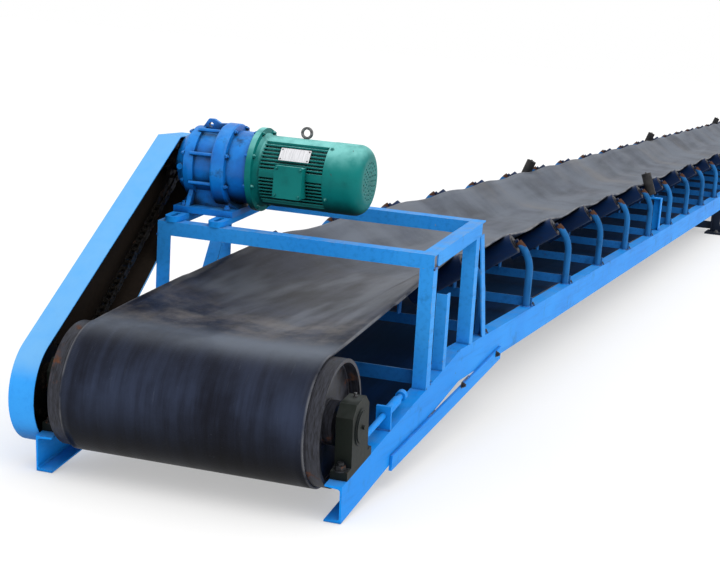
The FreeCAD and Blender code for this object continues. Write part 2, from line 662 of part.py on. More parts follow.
def make_motor():
    # Flat cooling fins lie level on both sides of the core, inside the motor's outer radius.
    core = profile_solid(MOTOR_PROFILE)
    fin_y0, fin_y1 = HALF - MOTOR_PROFILE[-1][0], HALF - 328
    fins = []
    for i in range(FIN_COUNT):
        z = FIN_PITCH * (i - (FIN_COUNT - 1) / 2)
        reach = math.sqrt(MOTOR_R ** 2 - z ** 2)
        fins.append(box(-reach, reach, fin_y0, fin_y1, z - FIN_T / 2, z + FIN_T / 2))
    round_body = rod((0, fin_y0, 0), (0, fin_y1, 0), MOTOR_R)
    lands = [round_body.common(box(-x, x, fin_y0, fin_y1, z0, z1))
             for x, z0, z1 in ((62, 95, 125), (62, -125, -95), (MOTOR_R, -14, 12))]
    motor = fuse([core] + fins + lands)
    node("motor_frame", at_drive_axis(motor))
    start, end = HALF - COWL_START, HALF - COWL_END
    shell = turned([(0, start), (COWL_R, start), (COWL_R, end), (0, end)], (0, 0, 0))
    shell = rim_rounded(shell, COWL_R, end, COWL_ROUND)
    inner_r = COWL_R - COWL_T
    hollow = turned([(0, start + 1), (inner_r, start + 1), (inner_r, end + COWL_T), (0, end + COWL_T)], (0, 0, 0))
    hollow = rim_rounded(hollow, inner_r, end + COWL_T, COWL_ROUND - COWL_T)
    grille = []
    for ring_r, count in COWL_HOLES:
        for i in range(count):
            hole = polygon_y(ring_r, 0, COWL_HOLE_R, 6, end - 1, end + COWL_T + 1)
            hole.rotate(Vector(), Y_AXIS, 360.0 * i / count)
            grille.append(hole)
    node("motor_fan_cowl", at_drive_axis(shell.cut(hollow).cut(Part.makeCompound(grille))))
    lid = box(-170, -156, HALF - 507, HALF - 402, -78, 36)
    neck = box(-158, -100, HALF - 503, HALF - 406, -74, 32)
    lid = lid.makeFillet(7, [e for e in lid.Edges if abs(e.tangentAt(e.FirstParameter).x) > 0.99])
    terminal = fuse([lid, neck]).cut(motor)
    node("terminal_box", at_drive_axis(terminal))
    eye_y, eye_z = HALF - 453, MOTOR_R + 21
    ring = turned([(13, -4), (15, -6), (20, -6), (22, -4), (22, 4), (20, 6), (15, 6), (13, 4)],
                  (0, eye_y, eye_z), Vector(1, 0, 0))
    stem = rod((0, eye_y, MOTOR_R - 8), (0, eye_y, MOTOR_R + 6), 9)
    node("eye_bolt", at_drive_axis(fuse([stem, ring]).cut(motor)))


def hull_outline(a, ra, b, rb, y):
    # Closed wire round two circles in the xz plane: an outer tangent on each side and an arc at each end.
    dx, dz = b[0] - a[0], b[1] - a[1]
    reach = math.hypot(dx, dz)
    base = math.atan2(dz, dx)
    open_a = math.acos((ra - rb) / reach)

    def on(c, r, t):
        return Vector(c[0] + r * math.cos(t), y, c[1] + r * math.sin(t))

    up, down = base + open_a, base - open_a
    return Part.Wire([
        Part.makeLine(on(a, ra, up), on(b, rb, up)),
        Part.Arc(on(b, rb, up), on(b, rb, base), on(b, rb, down)).toShape(),
        Part.makeLine(on(b, rb, down), on(a, ra, down)),
        Part.Arc(on(a, ra, down), on(a, ra, base + math.pi), on(a, ra, up)).toShape()])


def guard_outline(inset, y):
    # Casing outline: round about the drum sprocket, straight up to a square top over the small sprocket.
    r = GUARD_END_R - inset
    cx, cz = DRUM_X + GUARD_END_AFTER, DRUM_Z - GUARD_END_DROP
    top = DRIVE_Z + GUARD_TOP - inset
    corner = (DRIVE_X + GUARD_CORNER + inset * 0.7, top)
    back = (DRIVE_X + GUARD_BACK - inset, top)
    low = (DRIVE_X + GUARD_BACK - inset, DRIVE_Z + GUARD_LOW + inset * 0.4)

    def tangent(p, side):
        dx, dz = p[0] - cx, p[1] - cz
        reach = math.hypot(dx, dz)
        a = math.atan2(dz, dx) + side * math.acos(r / reach)
        return (cx + r * math.cos(a), cz + r * math.sin(a)), a

    (ux, uz), ua = tangent(corner, 1)
    (lx, lz), la = tangent(low, -1)
    mid = (ua + la + 2 * math.pi) / 2
    arc = Part.Arc(Vector(ux, y, uz), Vector(cx + r * math.cos(mid), y, cz + r * math.sin(mid)), Vector(lx, y, lz))
    line = [(lx, lz), low, back, corner, (ux, uz)]
    edges = [Part.makeLine(Vector(a[0], y, a[1]), Vector(b[0], y, b[1])) for a, b in zip(line, line[1:])]
    return Part.Face(Part.Wire([arc.toShape()] + edges))


def make_guard():
    open_y = HALF + SEAT
    solid = guard_outline(0, open_y).extrude(Vector(0, GUARD_DEPTH, 0))
    hollow = guard_outline(GUARD_T, open_y - 1).extrude(Vector(0, GUARD_DEPTH - GUARD_T + 1, 0))
    node("chain_guard", solid.cut(hollow))


def sprocket(cx, cz, teeth, pitch_r, bore, pins):
    # Disc and hub, turned so that the chain's pins lie between the teeth.
    tip, root = pitch_r + TOOTH_OUT, pitch_r - TOOTH_IN
    seated = min((pin for pin, free in pins), key=lambda p: math.hypot(p.x - cx, p.z - cz))
    first_tooth = math.atan2(seated.z - cz, seated.x - cx) + math.pi / teeth
    points = []
    for i in range(teeth):
        for part, r in ((-0.1, tip), (0.1, tip), (0.24, pitch_r), (0.34, root), (0.66, root), (0.76, pitch_r)):
            a = first_tooth + 2 * math.pi * (i + part) / teeth
            points.append((cx + r * math.cos(a), cz + r * math.sin(a)))
    disc = prism_xz(points, CHAIN_Y - SPROCKET_T / 2, CHAIN_Y + SPROCKET_T / 2)
    hub = rod((cx, CHAIN_Y - 24, cz), (cx, CHAIN_Y + 20, cz), bore + 16)
    return disc, hub


def chain_pins():
    # Pin centres evenly round the chain's path, each with True where the chain has left the sprockets.
    path = hull_outline((DRUM_X, DRUM_Z), DRUM_PITCH_R, (DRIVE_X, DRIVE_Z), DRIVE_PITCH_R, CHAIN_Y)
    pins = []
    for point in path.discretize(CHAIN_LINKS + 1)[:-1]:
        off_drum = math.hypot(point.x - DRUM_X, point.z - DRUM_Z) > DRUM_PITCH_R + ROLL_CLEAR
        off_drive = math.hypot(point.x - DRIVE_X, point.z - DRIVE_Z) > DRIVE_PITCH_R + ROLL_CLEAR
        pins.append((point, off_drum and off_drive))
    return pins


def link_plate(a, b, y0, y1):
    # Flat six-sided plate from pin a to pin b, between y0 and y1.
    along = (b - a).normalize()
    up = Vector(-along.z, 0, along.x) * (PLATE_H / 2)
    past, lap = along * (PLATE_H / 2 * PLATE_POINT), along * PLATE_LAP
    corners = [a - past, a - lap + up, b + lap + up, b + past, b + lap - up, a - lap - up]
    return prism_xz([(c.x, c.z) for c in corners], y0, y1)


def make_chain_drive():
    pins = chain_pins()
    disc, hub = sprocket(DRUM_X, DRUM_Z, DRUM_TEETH, DRUM_PITCH_R, SHAFT_R, pins)
    shaft = rod((DRUM_X, 0, DRUM_Z), (DRUM_X, CHAIN_Y + 40, DRUM_Z), SHAFT_R)
    node("drum_sprocket", fuse([disc, hub]).cut(shaft))
    disc, hub = sprocket(DRIVE_X, DRIVE_Z, DRIVE_TEETH, DRIVE_PITCH_R, SHAFT_R - 8, pins)
    stub = rod((DRIVE_X, HALF - 9, DRIVE_Z), (DRIVE_X, CHAIN_Y + 22, DRIVE_Z), SHAFT_R - RUNNING_FIT)
    node("drive_sprocket", fuse([disc, hub, stub]))
    solids = []
    reach = PLATE_GAP / 2
    for i, (pin, free) in enumerate(pins):
        after = pins[(i + 1) % CHAIN_LINKS][0]
        near = reach + (PLATE_T if i % 2 else 0)
        for side in (-1, 1):
            y = sorted((CHAIN_Y + side * near, CHAIN_Y + side * (near + PLATE_T)))
            solids.append(link_plate(pin, after, *y))
        if free:
            solids.append(polygon_y(pin.x, pin.z, CHAIN_ROLL_R, 6, CHAIN_Y - reach, CHAIN_Y + reach))
    node("drive_chain", fuse(solids))


def guide_direction(side):
    a = math.radians(GUIDE_LEAN)
    return Vector(0, -side * math.sin(a), math.cos(a))


def make_guides():
    brackets = []
    for order, after in enumerate(GUIDE_AFTER):
        x = idler_x(after) + IDLER_PITCH / 2
        for side, word in ((-1, "right"), (1, "left")):
            up = guide_direction(side)
            centre = Vector(x, side * GUIDE_Y, KNEE_Z + GUIDE_Z)
            bottom = centre - up * (GUIDE_L / 2)
            roller = turned([(GUIDE_PIN_R + RUNNING_FIT, 0), (GUIDE_R, 0), (GUIDE_R, GUIDE_L), (18, GUIDE_L),
                             (18, GUIDE_L - 6), (GUIDE_PIN_R + RUNNING_FIT, GUIDE_L - 6)],
                            (bottom.x, bottom.y, bottom.z), up)
            node("guide_roller_" + word + "_" + str(order + 1), roller)
            brackets.append(guide_bracket(x, side, bottom, up))
    node("guide_brackets", brackets)


def guide_bracket(x, side, bottom, up):
    # Angle post on the channel with an arm that carries the roller's pin.
    post_y = HALF - CHANNEL_WEB - 22
    seat = bottom - up * 6.0
    pin = rod(tuple(seat - up * 14), tuple(bottom + up * (GUIDE_L - 8)), GUIDE_PIN_R)
    collar = rod(tuple(seat - up * 14), tuple(seat + up * 5.6), 16)
    post = box(x - 25, x + 25, -post_y - 6, -post_y, CHANNEL_TOP, seat.z - 6)
    rib = box(x + 19, x + 25, -post_y - 6, -post_y + 44, CHANNEL_TOP, seat.z - 6)
    arm = box(x - 25, x + 25, -post_y - 6, -GUIDE_Y + 14, seat.z - 14, seat.z - 6)
    steel = fuse([post, rib, arm])
    if side > 0:
        steel = mirrored(steel)
    return fuse([steel, collar, pin])


def leg_x(index):
    return LEG_FIRST + LEG_PITCH * index


def make_legs():
    posts, feet, sleepers = [], [], []
    post_y = HALF - CHANNEL_B / 2
    for i in range(LEG_COUNT):
        x = leg_x(i)
        web = prism_yz([(-HALF + 2, KNEE_Z), (-HALF + CHANNEL_B + 30, KNEE_Z), (-HALF + CHANNEL_B + 30, FOOT_T),
                        (-HALF - 10, FOOT_T), (-HALF + 14, FOOT_T + 70), (-HALF + 14, KNEE_Z - 40)],
                       x - LEG_POST_T / 2, x + LEG_POST_T / 2)
        flange = box(x - LEG_POST_B / 2, x + LEG_POST_B / 2, -HALF + CHANNEL_B + 20, -HALF + CHANNEL_B + 30,
                     FOOT_T, KNEE_Z)
        posts += both_sides(fuse([web, flange]))
        foot = box(x - FOOT_L / 2, x + FOOT_L / 2, -post_y - FOOT_B / 2, -post_y + FOOT_B / 2, 0, FOOT_T)
        holes = [rod((x + s * ANCHOR_SPACING / 2, -post_y, -1), (x + s * ANCHOR_SPACING / 2, -post_y, FOOT_T + 1),
                     ANCHOR_R) for s in (-1, 1)]
        feet += both_sides(cut(foot, holes))
        sleepers.append(box(x - 5, x + 5, -FLANGE_IN + 30, FLANGE_IN - 30, FOOT_T + 20, FOOT_T + 80))
    node("leg_posts", posts)
    node("leg_feet", feet)
    node("leg_ties", sleepers)


def make_tail():
    # Bearing hubs on the webs, each held by a take-up screw through a bracket at the channel's end.
    web = HALF - CHANNEL_WEB
    hub_t = 34.0
    hub = turned([(TAIL_SHAFT_R + RUNNING_FIT, 0), (TAIL_HUB_R, 0), (TAIL_HUB_R, hub_t),
                  (TAIL_SHAFT_R + RUNNING_FIT, hub_t)], (TAIL_X, -web + SEAT, TAIL_Z))
    node("tail_bearings", both_sides(hub))
    screw_y = -web + hub_t / 2
    bracket = box(TAIL_END - 70, TAIL_END - 60, -web + SEAT, -FLANGE_IN, KNEE_Z + FLANGE_ROOT + ROOT_CORNER + SEAT,
                  CHANNEL_TOP - FLANGE_ROOT - ROOT_CORNER - SEAT)
    screw = rod((TAIL_X + TAIL_HUB_R + SEAT, screw_y, TAIL_Z), (TAIL_END - 15, screw_y, TAIL_Z), SCREW_R)
    nuts = [rod((x, screw_y, TAIL_Z), (x + 10, screw_y, TAIL_Z), 17) for x in (TAIL_END - 80, TAIL_END - 60)]
    node("take_up_screws", both_sides(fuse([bracket, screw] + nuts)))


def main():
    make_side_channels()
    make_tie_bars()
    make_cross_angles()
    make_idlers()
    make_return_rolls()
    make_belt()
    make_drums()
    make_head_bearings()
    make_table()
    make_reducer()
    make_motor()
    make_guard()
    make_chain_drive()
    make_guides()
    make_legs()
    make_tail()
    os.makedirs("parts", exist_ok=True)
    for name, shapes in nodes.items():
        whole = Part.makeCompound(shapes) if len(shapes) > 1 else shapes[0]
        whole = whole.copy()
        whole.translate(Vector(-LEG_FIRST, 0, 0))
        whole.exportStep("parts/" + name + ".step")
        solids = sum(len(s.Solids) for s in shapes)
        print(name, solids, "solids, valid", all(s.isValid() for s in shapes))


main()
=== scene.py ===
import json
import math
import bmesh
import bpy
from mathutils import Matrix, Vector


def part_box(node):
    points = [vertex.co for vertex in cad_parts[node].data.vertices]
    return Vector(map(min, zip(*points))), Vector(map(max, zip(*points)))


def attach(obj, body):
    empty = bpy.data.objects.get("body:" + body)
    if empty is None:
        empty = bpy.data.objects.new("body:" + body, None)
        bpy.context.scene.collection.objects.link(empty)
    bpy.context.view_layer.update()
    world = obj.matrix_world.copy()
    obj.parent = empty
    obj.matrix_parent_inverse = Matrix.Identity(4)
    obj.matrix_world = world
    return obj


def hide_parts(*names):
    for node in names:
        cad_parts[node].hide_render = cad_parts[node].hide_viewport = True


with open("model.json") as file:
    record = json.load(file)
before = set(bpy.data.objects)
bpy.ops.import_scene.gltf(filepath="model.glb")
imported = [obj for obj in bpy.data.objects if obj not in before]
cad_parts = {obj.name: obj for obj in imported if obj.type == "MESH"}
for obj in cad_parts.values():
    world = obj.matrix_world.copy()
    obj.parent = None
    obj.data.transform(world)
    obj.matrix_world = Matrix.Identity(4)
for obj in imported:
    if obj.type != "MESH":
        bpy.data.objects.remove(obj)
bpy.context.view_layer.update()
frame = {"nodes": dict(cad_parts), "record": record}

kneeX, kneeZ = -8.5, 0.21656  # where the undersides of the dipped head section and the level one meet
half = 0.51                   # outer faces of the side channels
channelTall = 0.12
channelTop = kneeZ + channelTall
dip = math.radians(9.45)      # head section
lean = math.radians(5.2)      # drive table
print("frame loaded")


# How nodes are written.
class Sock:  # an output of a node; arithmetic on it adds Math nodes
    def __init__(self, maker, socket):
        self.maker, self.socket = maker, socket

    def calc(self, operation, other, swapped=False):
        pair = [other, self] if swapped else [self, other]
        return self.maker.add("ShaderNodeMath", {"operation": operation}, dict(enumerate(pair)))

    def __add__(self, other):
        return self.calc("ADD", other)

    def __sub__(self, other):
        return self.calc("SUBTRACT", other)

    def __rsub__(self, other):
        return self.calc("SUBTRACT", other, True)

    def __mul__(self, other):
        return self.calc("MULTIPLY", other)

    __radd__ = __add__


class Nodes:  # fills one node tree
    def __init__(self, tree):
        self.tree = tree

    def add(self, kind, settings=None, links=None, out=0):
        node = self.tree.nodes.new(kind)
        for name, value in (settings or {}).items():
            setattr(node, name, value)
        for name, value in (links or {}).items():
            for one in value if isinstance(value, list) else [value]:
                if isinstance(one, Sock):
                    self.tree.links.new(one.socket, node.inputs[name])
                else:
                    node.inputs[name].default_value = one
        return Sock(self, node.outputs[out] if node.outputs else None)


class Finish(Nodes):  # one material, its patterns on object coordinates in metres
    def __init__(self, name):
        self.material = bpy.data.materials.new(name)
        self.material.use_nodes = True
        super().__init__(self.material.node_tree)
        self.tree.nodes.clear()
        self.place = self.add("ShaderNodeTexCoord", out="Object")

    def stretched(self, scale, turn=(0, 0, 0)):
        return self.add("ShaderNodeMapping", None, {"Vector": self.place, "Scale": scale, "Rotation": turn})

    def noise(self, scale, detail=4.0, rough=0.55, place=None):
        return self.add("ShaderNodeTexNoise", None, {"Vector": place or self.place, "Scale": scale,
                                                     "Detail": detail, "Roughness": rough})

    def span(self, value, low, high, start=0.0, end=1.0):
        return self.add("ShaderNodeMapRange", {"interpolation_type": "SMOOTHSTEP"},
                        {"Value": value, "From Min": low, "From Max": high, "To Min": start, "To Max": end})

    def mix(self, amount, first, second):
        return self.add("ShaderNodeMix", {"data_type": "RGBA"}, {0: amount, 6: first, 7: second}, 2)

    def vector(self, operation, first, second, out=0):
        return self.add("ShaderNodeVectorMath", {"operation": operation}, {0: first, 1: second}, out)

    def part(self, vector, axis):
        return self.add("ShaderNodeSeparateXYZ", None, {0: vector}, axis)

    def normal(self):
        return self.add("ShaderNodeNewGeometry", out="Normal")

    def facing(self, axis="Z"):
        return self.part(self.normal(), axis)

    def edges(self, radius):
        soft = self.add("ShaderNodeBevel", {"samples": 4}, {"Radius": radius})
        match = self.vector("DOT_PRODUCT", soft, self.normal(), "Value")
        return self.span(1 - match, 0.01, 0.16)

    # Dark in recesses, where near surfaces close in: part grime in the joints, part painted shade.
    def crevice(self, distance):
        shelter = self.add("ShaderNodeAmbientOcclusion", {"samples": 4}, {"Distance": distance}, "AO")
        return self.span(shelter, 0.86, 0.42)

    def bump(self, height, distance, under=None):
        links = {"Height": height, "Distance": distance, "Strength": 1.0}
        if under:
            links["Normal"] = under
        return self.add("ShaderNodeBump", None, links)

    def finish(self, color, roughness, normal=None, metallic=0.0, **fixed):
        links = {"Base Color": color, "Roughness": roughness, "Metallic": metallic, **fixed}
        if normal:
            links["Normal"] = normal
        shell = self.add("ShaderNodeBsdfPrincipled", None, links)
        self.add("ShaderNodeOutputMaterial", None, {"Surface": shell})
        return self.material


def rgb(r, g, b):  # a colour as the eye reads it, 0 to 255
    return tuple(((c / 255 + 0.055) / 1.055) ** 2.4 if c > 10 else c / 3295 for c in (r, g, b)) + (1.0,)


# Finishes.
def enamel(name, look, extra=None):
    f = Finish(name)
    broad = f.noise(look["patch"], 3)
    fine = f.noise(70, 5, 0.6)
    strokes = f.noise(1, 4, 0.6, f.stretched(look["strokes"]))
    color = f.mix(f.span(broad, 0.35, 0.7), look["base"], look["second"])
    color = f.mix(f.span(strokes, 0.45, 0.75) * look["streak"], color, look["thin"])
    grime = f.span(f.noise(9, 6, 0.65), 0.52, 0.72) * look["grime"]
    # Painted shade: downward faces darken towards the dirt colour, mixed in with the noise grime.
    shaded = f.span(0 - f.facing(), 0.3, 1.0) * look["under"]
    color = f.mix(f.span(grime + shaded, 0.0, 1.0), color, look["dirtAndShade"])
    # Recesses darken towards the soot colour: part grime, part painted shade.
    color = f.mix(f.crevice(look["depth"]) * look["crevice"], color, look["recessGrimeAndShade"])
    spots = f.span(f.noise(38, 6, 0.7), 0.66 - look["rust"] * 0.1, 0.74) * f.span(f.noise(3.1, 2), 0.45, 0.6)
    worn = f.edges(0.003) * f.span(f.noise(22, 5, 0.7), 0.62 - look["wear"] * 0.2, 0.7)
    bareAndInside = worn + spots
    if extra:
        bareAndInside = bareAndInside + extra(f)
    bareAndInside = f.span(bareAndInside, 0.2, 0.8)
    rusty = f.mix(f.noise(60, 5, 0.7), look["bareAndInside"], look["bright"])
    color = f.mix(bareAndInside, color, rusty)
    # Upward faces lighten towards the powder colour: grey dust on most finishes, a painted highlight where that colour
    # is tinted.
    dustAndHighlightShare = f.span(f.facing(), *look["lies"]) * f.span(f.noise(14, 4), *look["patchy"]) * look["dustAndHighlightShare"] * (1 - bareAndInside)
    color = f.mix(dustAndHighlightShare, color, look["dustAndHighlight"])
    rough = look["rough"] + fine * 0.12 + dustAndHighlightShare * 0.3 + bareAndInside * 0.25
    normal = f.bump(strokes * 0.5 + fine * 0.25 - bareAndInside * 0.6, look["relief"])
    return f.finish(color, rough, normal, **{"Coat Weight": look["coat"], "Coat Roughness": 0.12,
                                             "Specular IOR Level": look["gloss"]})


# Shared looks: dirt takes the grime and painted shade under things; soot darkens recesses, part grime and part painted
# shade; powder is dust, tinted as a painted highlight on some finishes.
paint = {"patch": 1.7, "strokes": (3, 60, 60), "streak": 0.35, "grime": 0.25, "rust": 0.3, "wear": 0.45, "dustAndHighlightShare": 0.18,
         "rough": 0.42, "coat": 0.0, "gloss": 0.05, "relief": 0.0006, "under": 0.6, "dirtAndShade": rgb(20, 44, 72),
         "bareAndInside": rgb(50, 38, 34), "bright": rgb(98, 66, 48), "dustAndHighlight": rgb(150, 154, 156), "lies": (0.35, 1.0),
         "patchy": (0.3, 0.8), "depth": 0.02, "crevice": 0.6, "recessGrimeAndShade": rgb(12, 20, 32)}


def tipRust(f):  # the arms' paint is burnt off where they carry the roll ends
    return f.span(f.part(f.place, "Z") + f.noise(30, 4) * 0.03, 0.606, 0.622)


def rollEnds(f):  # bare discs at the ends of the rolls
    side = f.add("ShaderNodeMath", {"operation": "ABSOLUTE"}, {0: f.facing("Y")})
    return f.span(side, 0.68, 0.76) * f.span(f.noise(30, 4), 0.45, 0.6) * 0.6


bluePaint = enamel("frameBlue", {**paint, "base": rgb(22, 138, 230), "second": rgb(32, 148, 238),
                                 "thin": rgb(14, 106, 194), "grime": 0.35})
armPaint = enamel("armBlue", {**paint, "base": rgb(28, 92, 148), "second": rgb(42, 116, 182), "grime": 0.55,
                              "thin": rgb(18, 64, 108), "strokes": (60, 60, 5), "streak": 0.6}, tipRust)
# The cross angles' light blue powder on their tops is part dust, part a painted lighter top.
crossPaint = enamel("crossBlue", {**paint, "base": rgb(30, 104, 176), "second": rgb(40, 120, 196), "grime": 0.5,
                                  "thin": rgb(18, 70, 126), "dustAndHighlightShare": 0.8,
                                  "dustAndHighlight": rgb(120, 158, 188), "patchy": (0.1, 0.7)})
tablePaint = enamel("tableBlue", {**paint, "base": rgb(40, 142, 228), "second": rgb(56, 156, 236), "grime": 0.4,
                                  "thin": rgb(28, 104, 182), "wear": 0.8, "dustAndHighlightShare": 0.45,
                                  "bareAndInside": rgb(110, 116, 112), "bright": rgb(176, 180, 170)})
# The reducer's light blue powder on upward faces is a painted highlight.
reducerPaint = enamel("reducerBlue", {**paint, "base": rgb(6, 106, 194), "second": rgb(14, 132, 222), "rough": 0.34,
                                      "thin": rgb(4, 52, 110), "coat": 0.1, "gloss": 0.22, "grime": 1.0,
                                      "strokes": (20, 20, 20), "dirtAndShade": rgb(5, 24, 52), "relief": 0.0012,
                                      "dustAndHighlightShare": 0.55, "dustAndHighlight": rgb(84, 166, 238), "patch": 9.0, "under": 1.0,
                                      "rust": 0.5, "depth": 0.045, "crevice": 1.0})
# The motor's pale teal powder on upward faces is a painted highlight on the cowl.
motorPaint = enamel("motorGreen", {**paint, "base": rgb(6, 110, 107), "second": rgb(20, 132, 127), "rough": 0.36,
                                   "thin": rgb(4, 80, 78), "gloss": 0.1, "grime": 0.3, "rust": 0.0,
                                   "strokes": (20, 20, 20), "wear": 0.15, "dirtAndShade": rgb(4, 40, 40), "dustAndHighlightShare": 0.75,
                                   "dustAndHighlight": rgb(150, 226, 222), "under": 0.85,
                                   "lies": (0.2, 0.95), "patchy": (0.1, 0.7), "crevice": 0.8,
                                   "recessGrimeAndShade": rgb(4, 26, 26)})
# The support trestle is frame blue in shade: its near-black navy is painted shade.
supportShadePaint = enamel("supportNavy", {**paint, "base": rgb(14, 24, 42), "second": rgb(20, 34, 56), "rough": 0.5,
                                   "thin": rgb(10, 18, 32), "dustAndHighlightShare": 0.2, "gloss": 0.2})
# Navy roll paint, darkened further as painted shade under the belt.
rollPaint = enamel("rollNavy", {**paint, "base": rgb(8, 30, 64), "second": rgb(12, 42, 84),
                                "thin": rgb(24, 34, 50), "streak": 0.5, "strokes": (120, 2, 120), "dustAndHighlightShare": 0.1,
                                "gloss": 0.12}, rollEnds)
castPaint = enamel("bearingOlive", {**paint, "base": rgb(20, 26, 22), "second": rgb(30, 38, 32), "rough": 0.5,
                                    "thin": rgb(20, 22, 18), "grime": 0.6, "strokes": (40, 40, 40), "gloss": 0.14,
                                    "relief": 0.0012, "rust": 0.5, "dirtAndShade": rgb(22, 20, 18)})


def metal(name, look):
    f = Finish(name)
    grain = f.noise(1, 5, 0.65, f.stretched(look["grain"]))
    blotch = f.noise(look["patch"], 6, 0.65)
    rust = f.span(blotch, 0.68 - look["rust"] * 0.3, 0.74 - look["rust"] * 0.15)
    color = f.mix(f.span(grain, 0.3, 0.7), look["dark"], look["light"])
    color = f.mix(rust, color, f.mix(f.noise(90, 4), rgb(44, 28, 22), rgb(104, 64, 42)))
    normal = f.bump(grain * 0.4 + blotch * rust, look["relief"])
    return f.finish(color, look["rough"] + grain * 0.2 + rust * 0.4, normal, (1 - rust) * look["metal"],
                    **{"Specular IOR Level": 0.3})


drumSteel = metal("drumSteel", {"grain": (30, 260, 30), "patch": 11, "rust": 0.35, "rough": 0.4, "metal": 0.35,
                                "dark": rgb(26, 26, 30), "light": rgb(56, 58, 68), "relief": 0.0006})
chainSteel = metal("greasySteel", {"grain": (90, 90, 90), "patch": 30, "rust": 0.3, "rough": 0.34, "metal": 0.6,
                                   "dark": rgb(20, 18, 16), "light": rgb(52, 48, 44), "relief": 0.0004})
boltSteel = metal("boltSteel", {"grain": (140, 140, 140), "patch": 45, "rust": 0.35, "rough": 0.36, "metal": 0.85,
                                "dark": rgb(60, 60, 62), "light": rgb(130, 130, 132), "relief": 0.0003})
blackBolt = metal("blackBolt", {"grain": (140, 140, 140), "patch": 45, "rust": 0.4, "rough": 0.4, "metal": 0.4,
                                "dark": rgb(22, 24, 28), "light": rgb(54, 56, 60), "relief": 0.0003})
plateSteel = metal("plateSteel", {"grain": (20, 300, 20), "patch": 60, "rust": 0.0, "rough": 0.36, "metal": 0.3,
                                  "dark": rgb(196, 196, 200), "light": rgb(232, 232, 236), "relief": 0.0001})


def weldMetal():
    f = Finish("weldBead")
    color = f.mix(f.span(f.noise(60, 4), 0.4, 0.62), rgb(34, 112, 196), rgb(40, 52, 70))
    return f.finish(color, 0.45, f.bump(f.noise(300, 3), 0.0004), **{"Specular IOR Level": 0.35})


weldBead = weldMetal()


def beltRubber(name, look):  # follows the belt: u runs along it, v across, both in metres
    f = Finish(name)
    along = f.add("ShaderNodeUVMap", {"uv_map": "run"})
    f.place = along
    across = f.add("ShaderNodeMath", {"operation": "ABSOLUTE"}, {0: f.part(along, "Y")})
    broad = f.noise(2.4, 5, 0.6)
    streaks = f.noise(1, 6, 0.62, f.stretched((1.3, 16, 1)))
    scuffs = f.span(f.noise(1, 8, 0.72, f.stretched((5, 42, 1), (0, 0, 0.06))), 0.6, 0.74)
    fine = f.noise(210, 4, 0.6)
    speck = f.span(f.noise(90, 3, 0.8), 0.68, 0.74)
    worn = f.span(broad * 0.6 + streaks * 0.55, 0.42, 0.72)
    color = f.mix(worn, look["dark"], look["light"])
    color = f.mix(scuffs * look["scuff"], color, look["scuffed"])
    # Painted shade: faces turned sideways and down go towards the below colour.
    color = f.mix(f.span(0 - f.facing(), -0.25, 0.7) * 0.9, color, look["below"])
    level = f.span(f.facing(), 0.15, 0.97)
    run = f.part(along, "X")
    # Painted shade: upward faces under the drive table darken towards the dark colour, and get less powder.
    pastTable = f.span(run, 1.2, 2.6, 0.05, 1.0)
    swept = f.span(f.noise(1, 3, 0.5, f.stretched((0.9, 5.5, 1), (0, 0, 0.45))), 0.47, 0.62)
    swept = swept * f.span(run, 0.1, 0.4)
    # Painted highlight: more powder colour on the crest of the head drum.
    crest = f.span(run, -0.16, -0.02) * f.span(run, 0.2, 0.0)
    color = f.mix((1 - pastTable) * level * 0.5, color, look["dark"])
    drift = f.span(run, 0.02, 0.12) * f.span(run, 0.7, 0.25) * f.span(f.noise(4, 6, 0.7), 0.38, 0.7)
    dustAndHighlight = level * f.span(f.noise(1.6, 6, 0.62), 0.38, 0.6, 0.45, 1.0) * look["dustAndHighlightShare"]
    dustAndHighlight = dustAndHighlight * f.span(pastTable + crest * 0.7, 0.0, 1.0)
    color = f.mix(dustAndHighlight, color, look["dustAndHighlight"])
    patch = f.span(f.noise(1.1, 4, 0.6), 0.5, 0.68) * level * pastTable
    color = f.mix(patch * 0.4, color, look["earth"])
    color = f.mix(swept * level * 0.45, color, look["dustAndHighlight"])
    color = f.mix(drift * level * 0.55, color, look["earth"])
    color = f.mix(speck * 0.3, color, look["scuffed"])
    # Painted highlight: a pale line along both edges, in the lip colour.
    edgeHighlightMask = f.span(across, 0.392, 0.4) * f.span(f.noise(7, 4), 0.35, 0.6)
    color = f.mix(edgeHighlightMask * 0.4, color, look["edgeHighlight"])
    weave = f.add("ShaderNodeTexWave", {"wave_type": "BANDS", "bands_direction": "DIAGONAL"},
                  {"Vector": along, "Scale": 60.0, "Distortion": 1.5, "Detail": 1.0})
    normal = f.bump(weave * 0.3 + fine * 0.5, 0.0004)
    normal = f.bump(broad * 0.4 + streaks * 0.3 + scuffs * 0.2, 0.002, normal)
    rough = look["rough"] + fine * 0.16 + dustAndHighlight * 0.25 - worn * 0.06
    return f.finish(color, rough, normal, **{"Specular IOR Level": look["gloss"]})


beltTop = beltRubber("beltRubber", {"dark": rgb(20, 22, 32), "light": rgb(46, 54, 74), "scuffed": rgb(96, 102, 114),
                                    "scuff": 0.35, "dustAndHighlight": rgb(108, 115, 126), "dustAndHighlightShare": 0.9, "rough": 0.36,
                                    "earth": rgb(120, 114, 108), "edgeHighlight": rgb(146, 146, 148), "gloss": 0.07,
                                    "below": rgb(8, 8, 11)})
# The belt's inner face: its navy is painted shade on dark rubber.
beltInside = beltRubber("beltInside", {"dark": rgb(4, 24, 50), "light": rgb(8, 38, 78), "scuffed": rgb(34, 50, 68),
                                       "scuff": 0.3, "dustAndHighlight": rgb(12, 40, 68), "dustAndHighlightShare": 0.5, "rough": 0.6,
                                       "earth": rgb(14, 34, 56), "edgeHighlight": rgb(50, 54, 60), "gloss": 0.04,
                                       "below": rgb(5, 14, 26)})


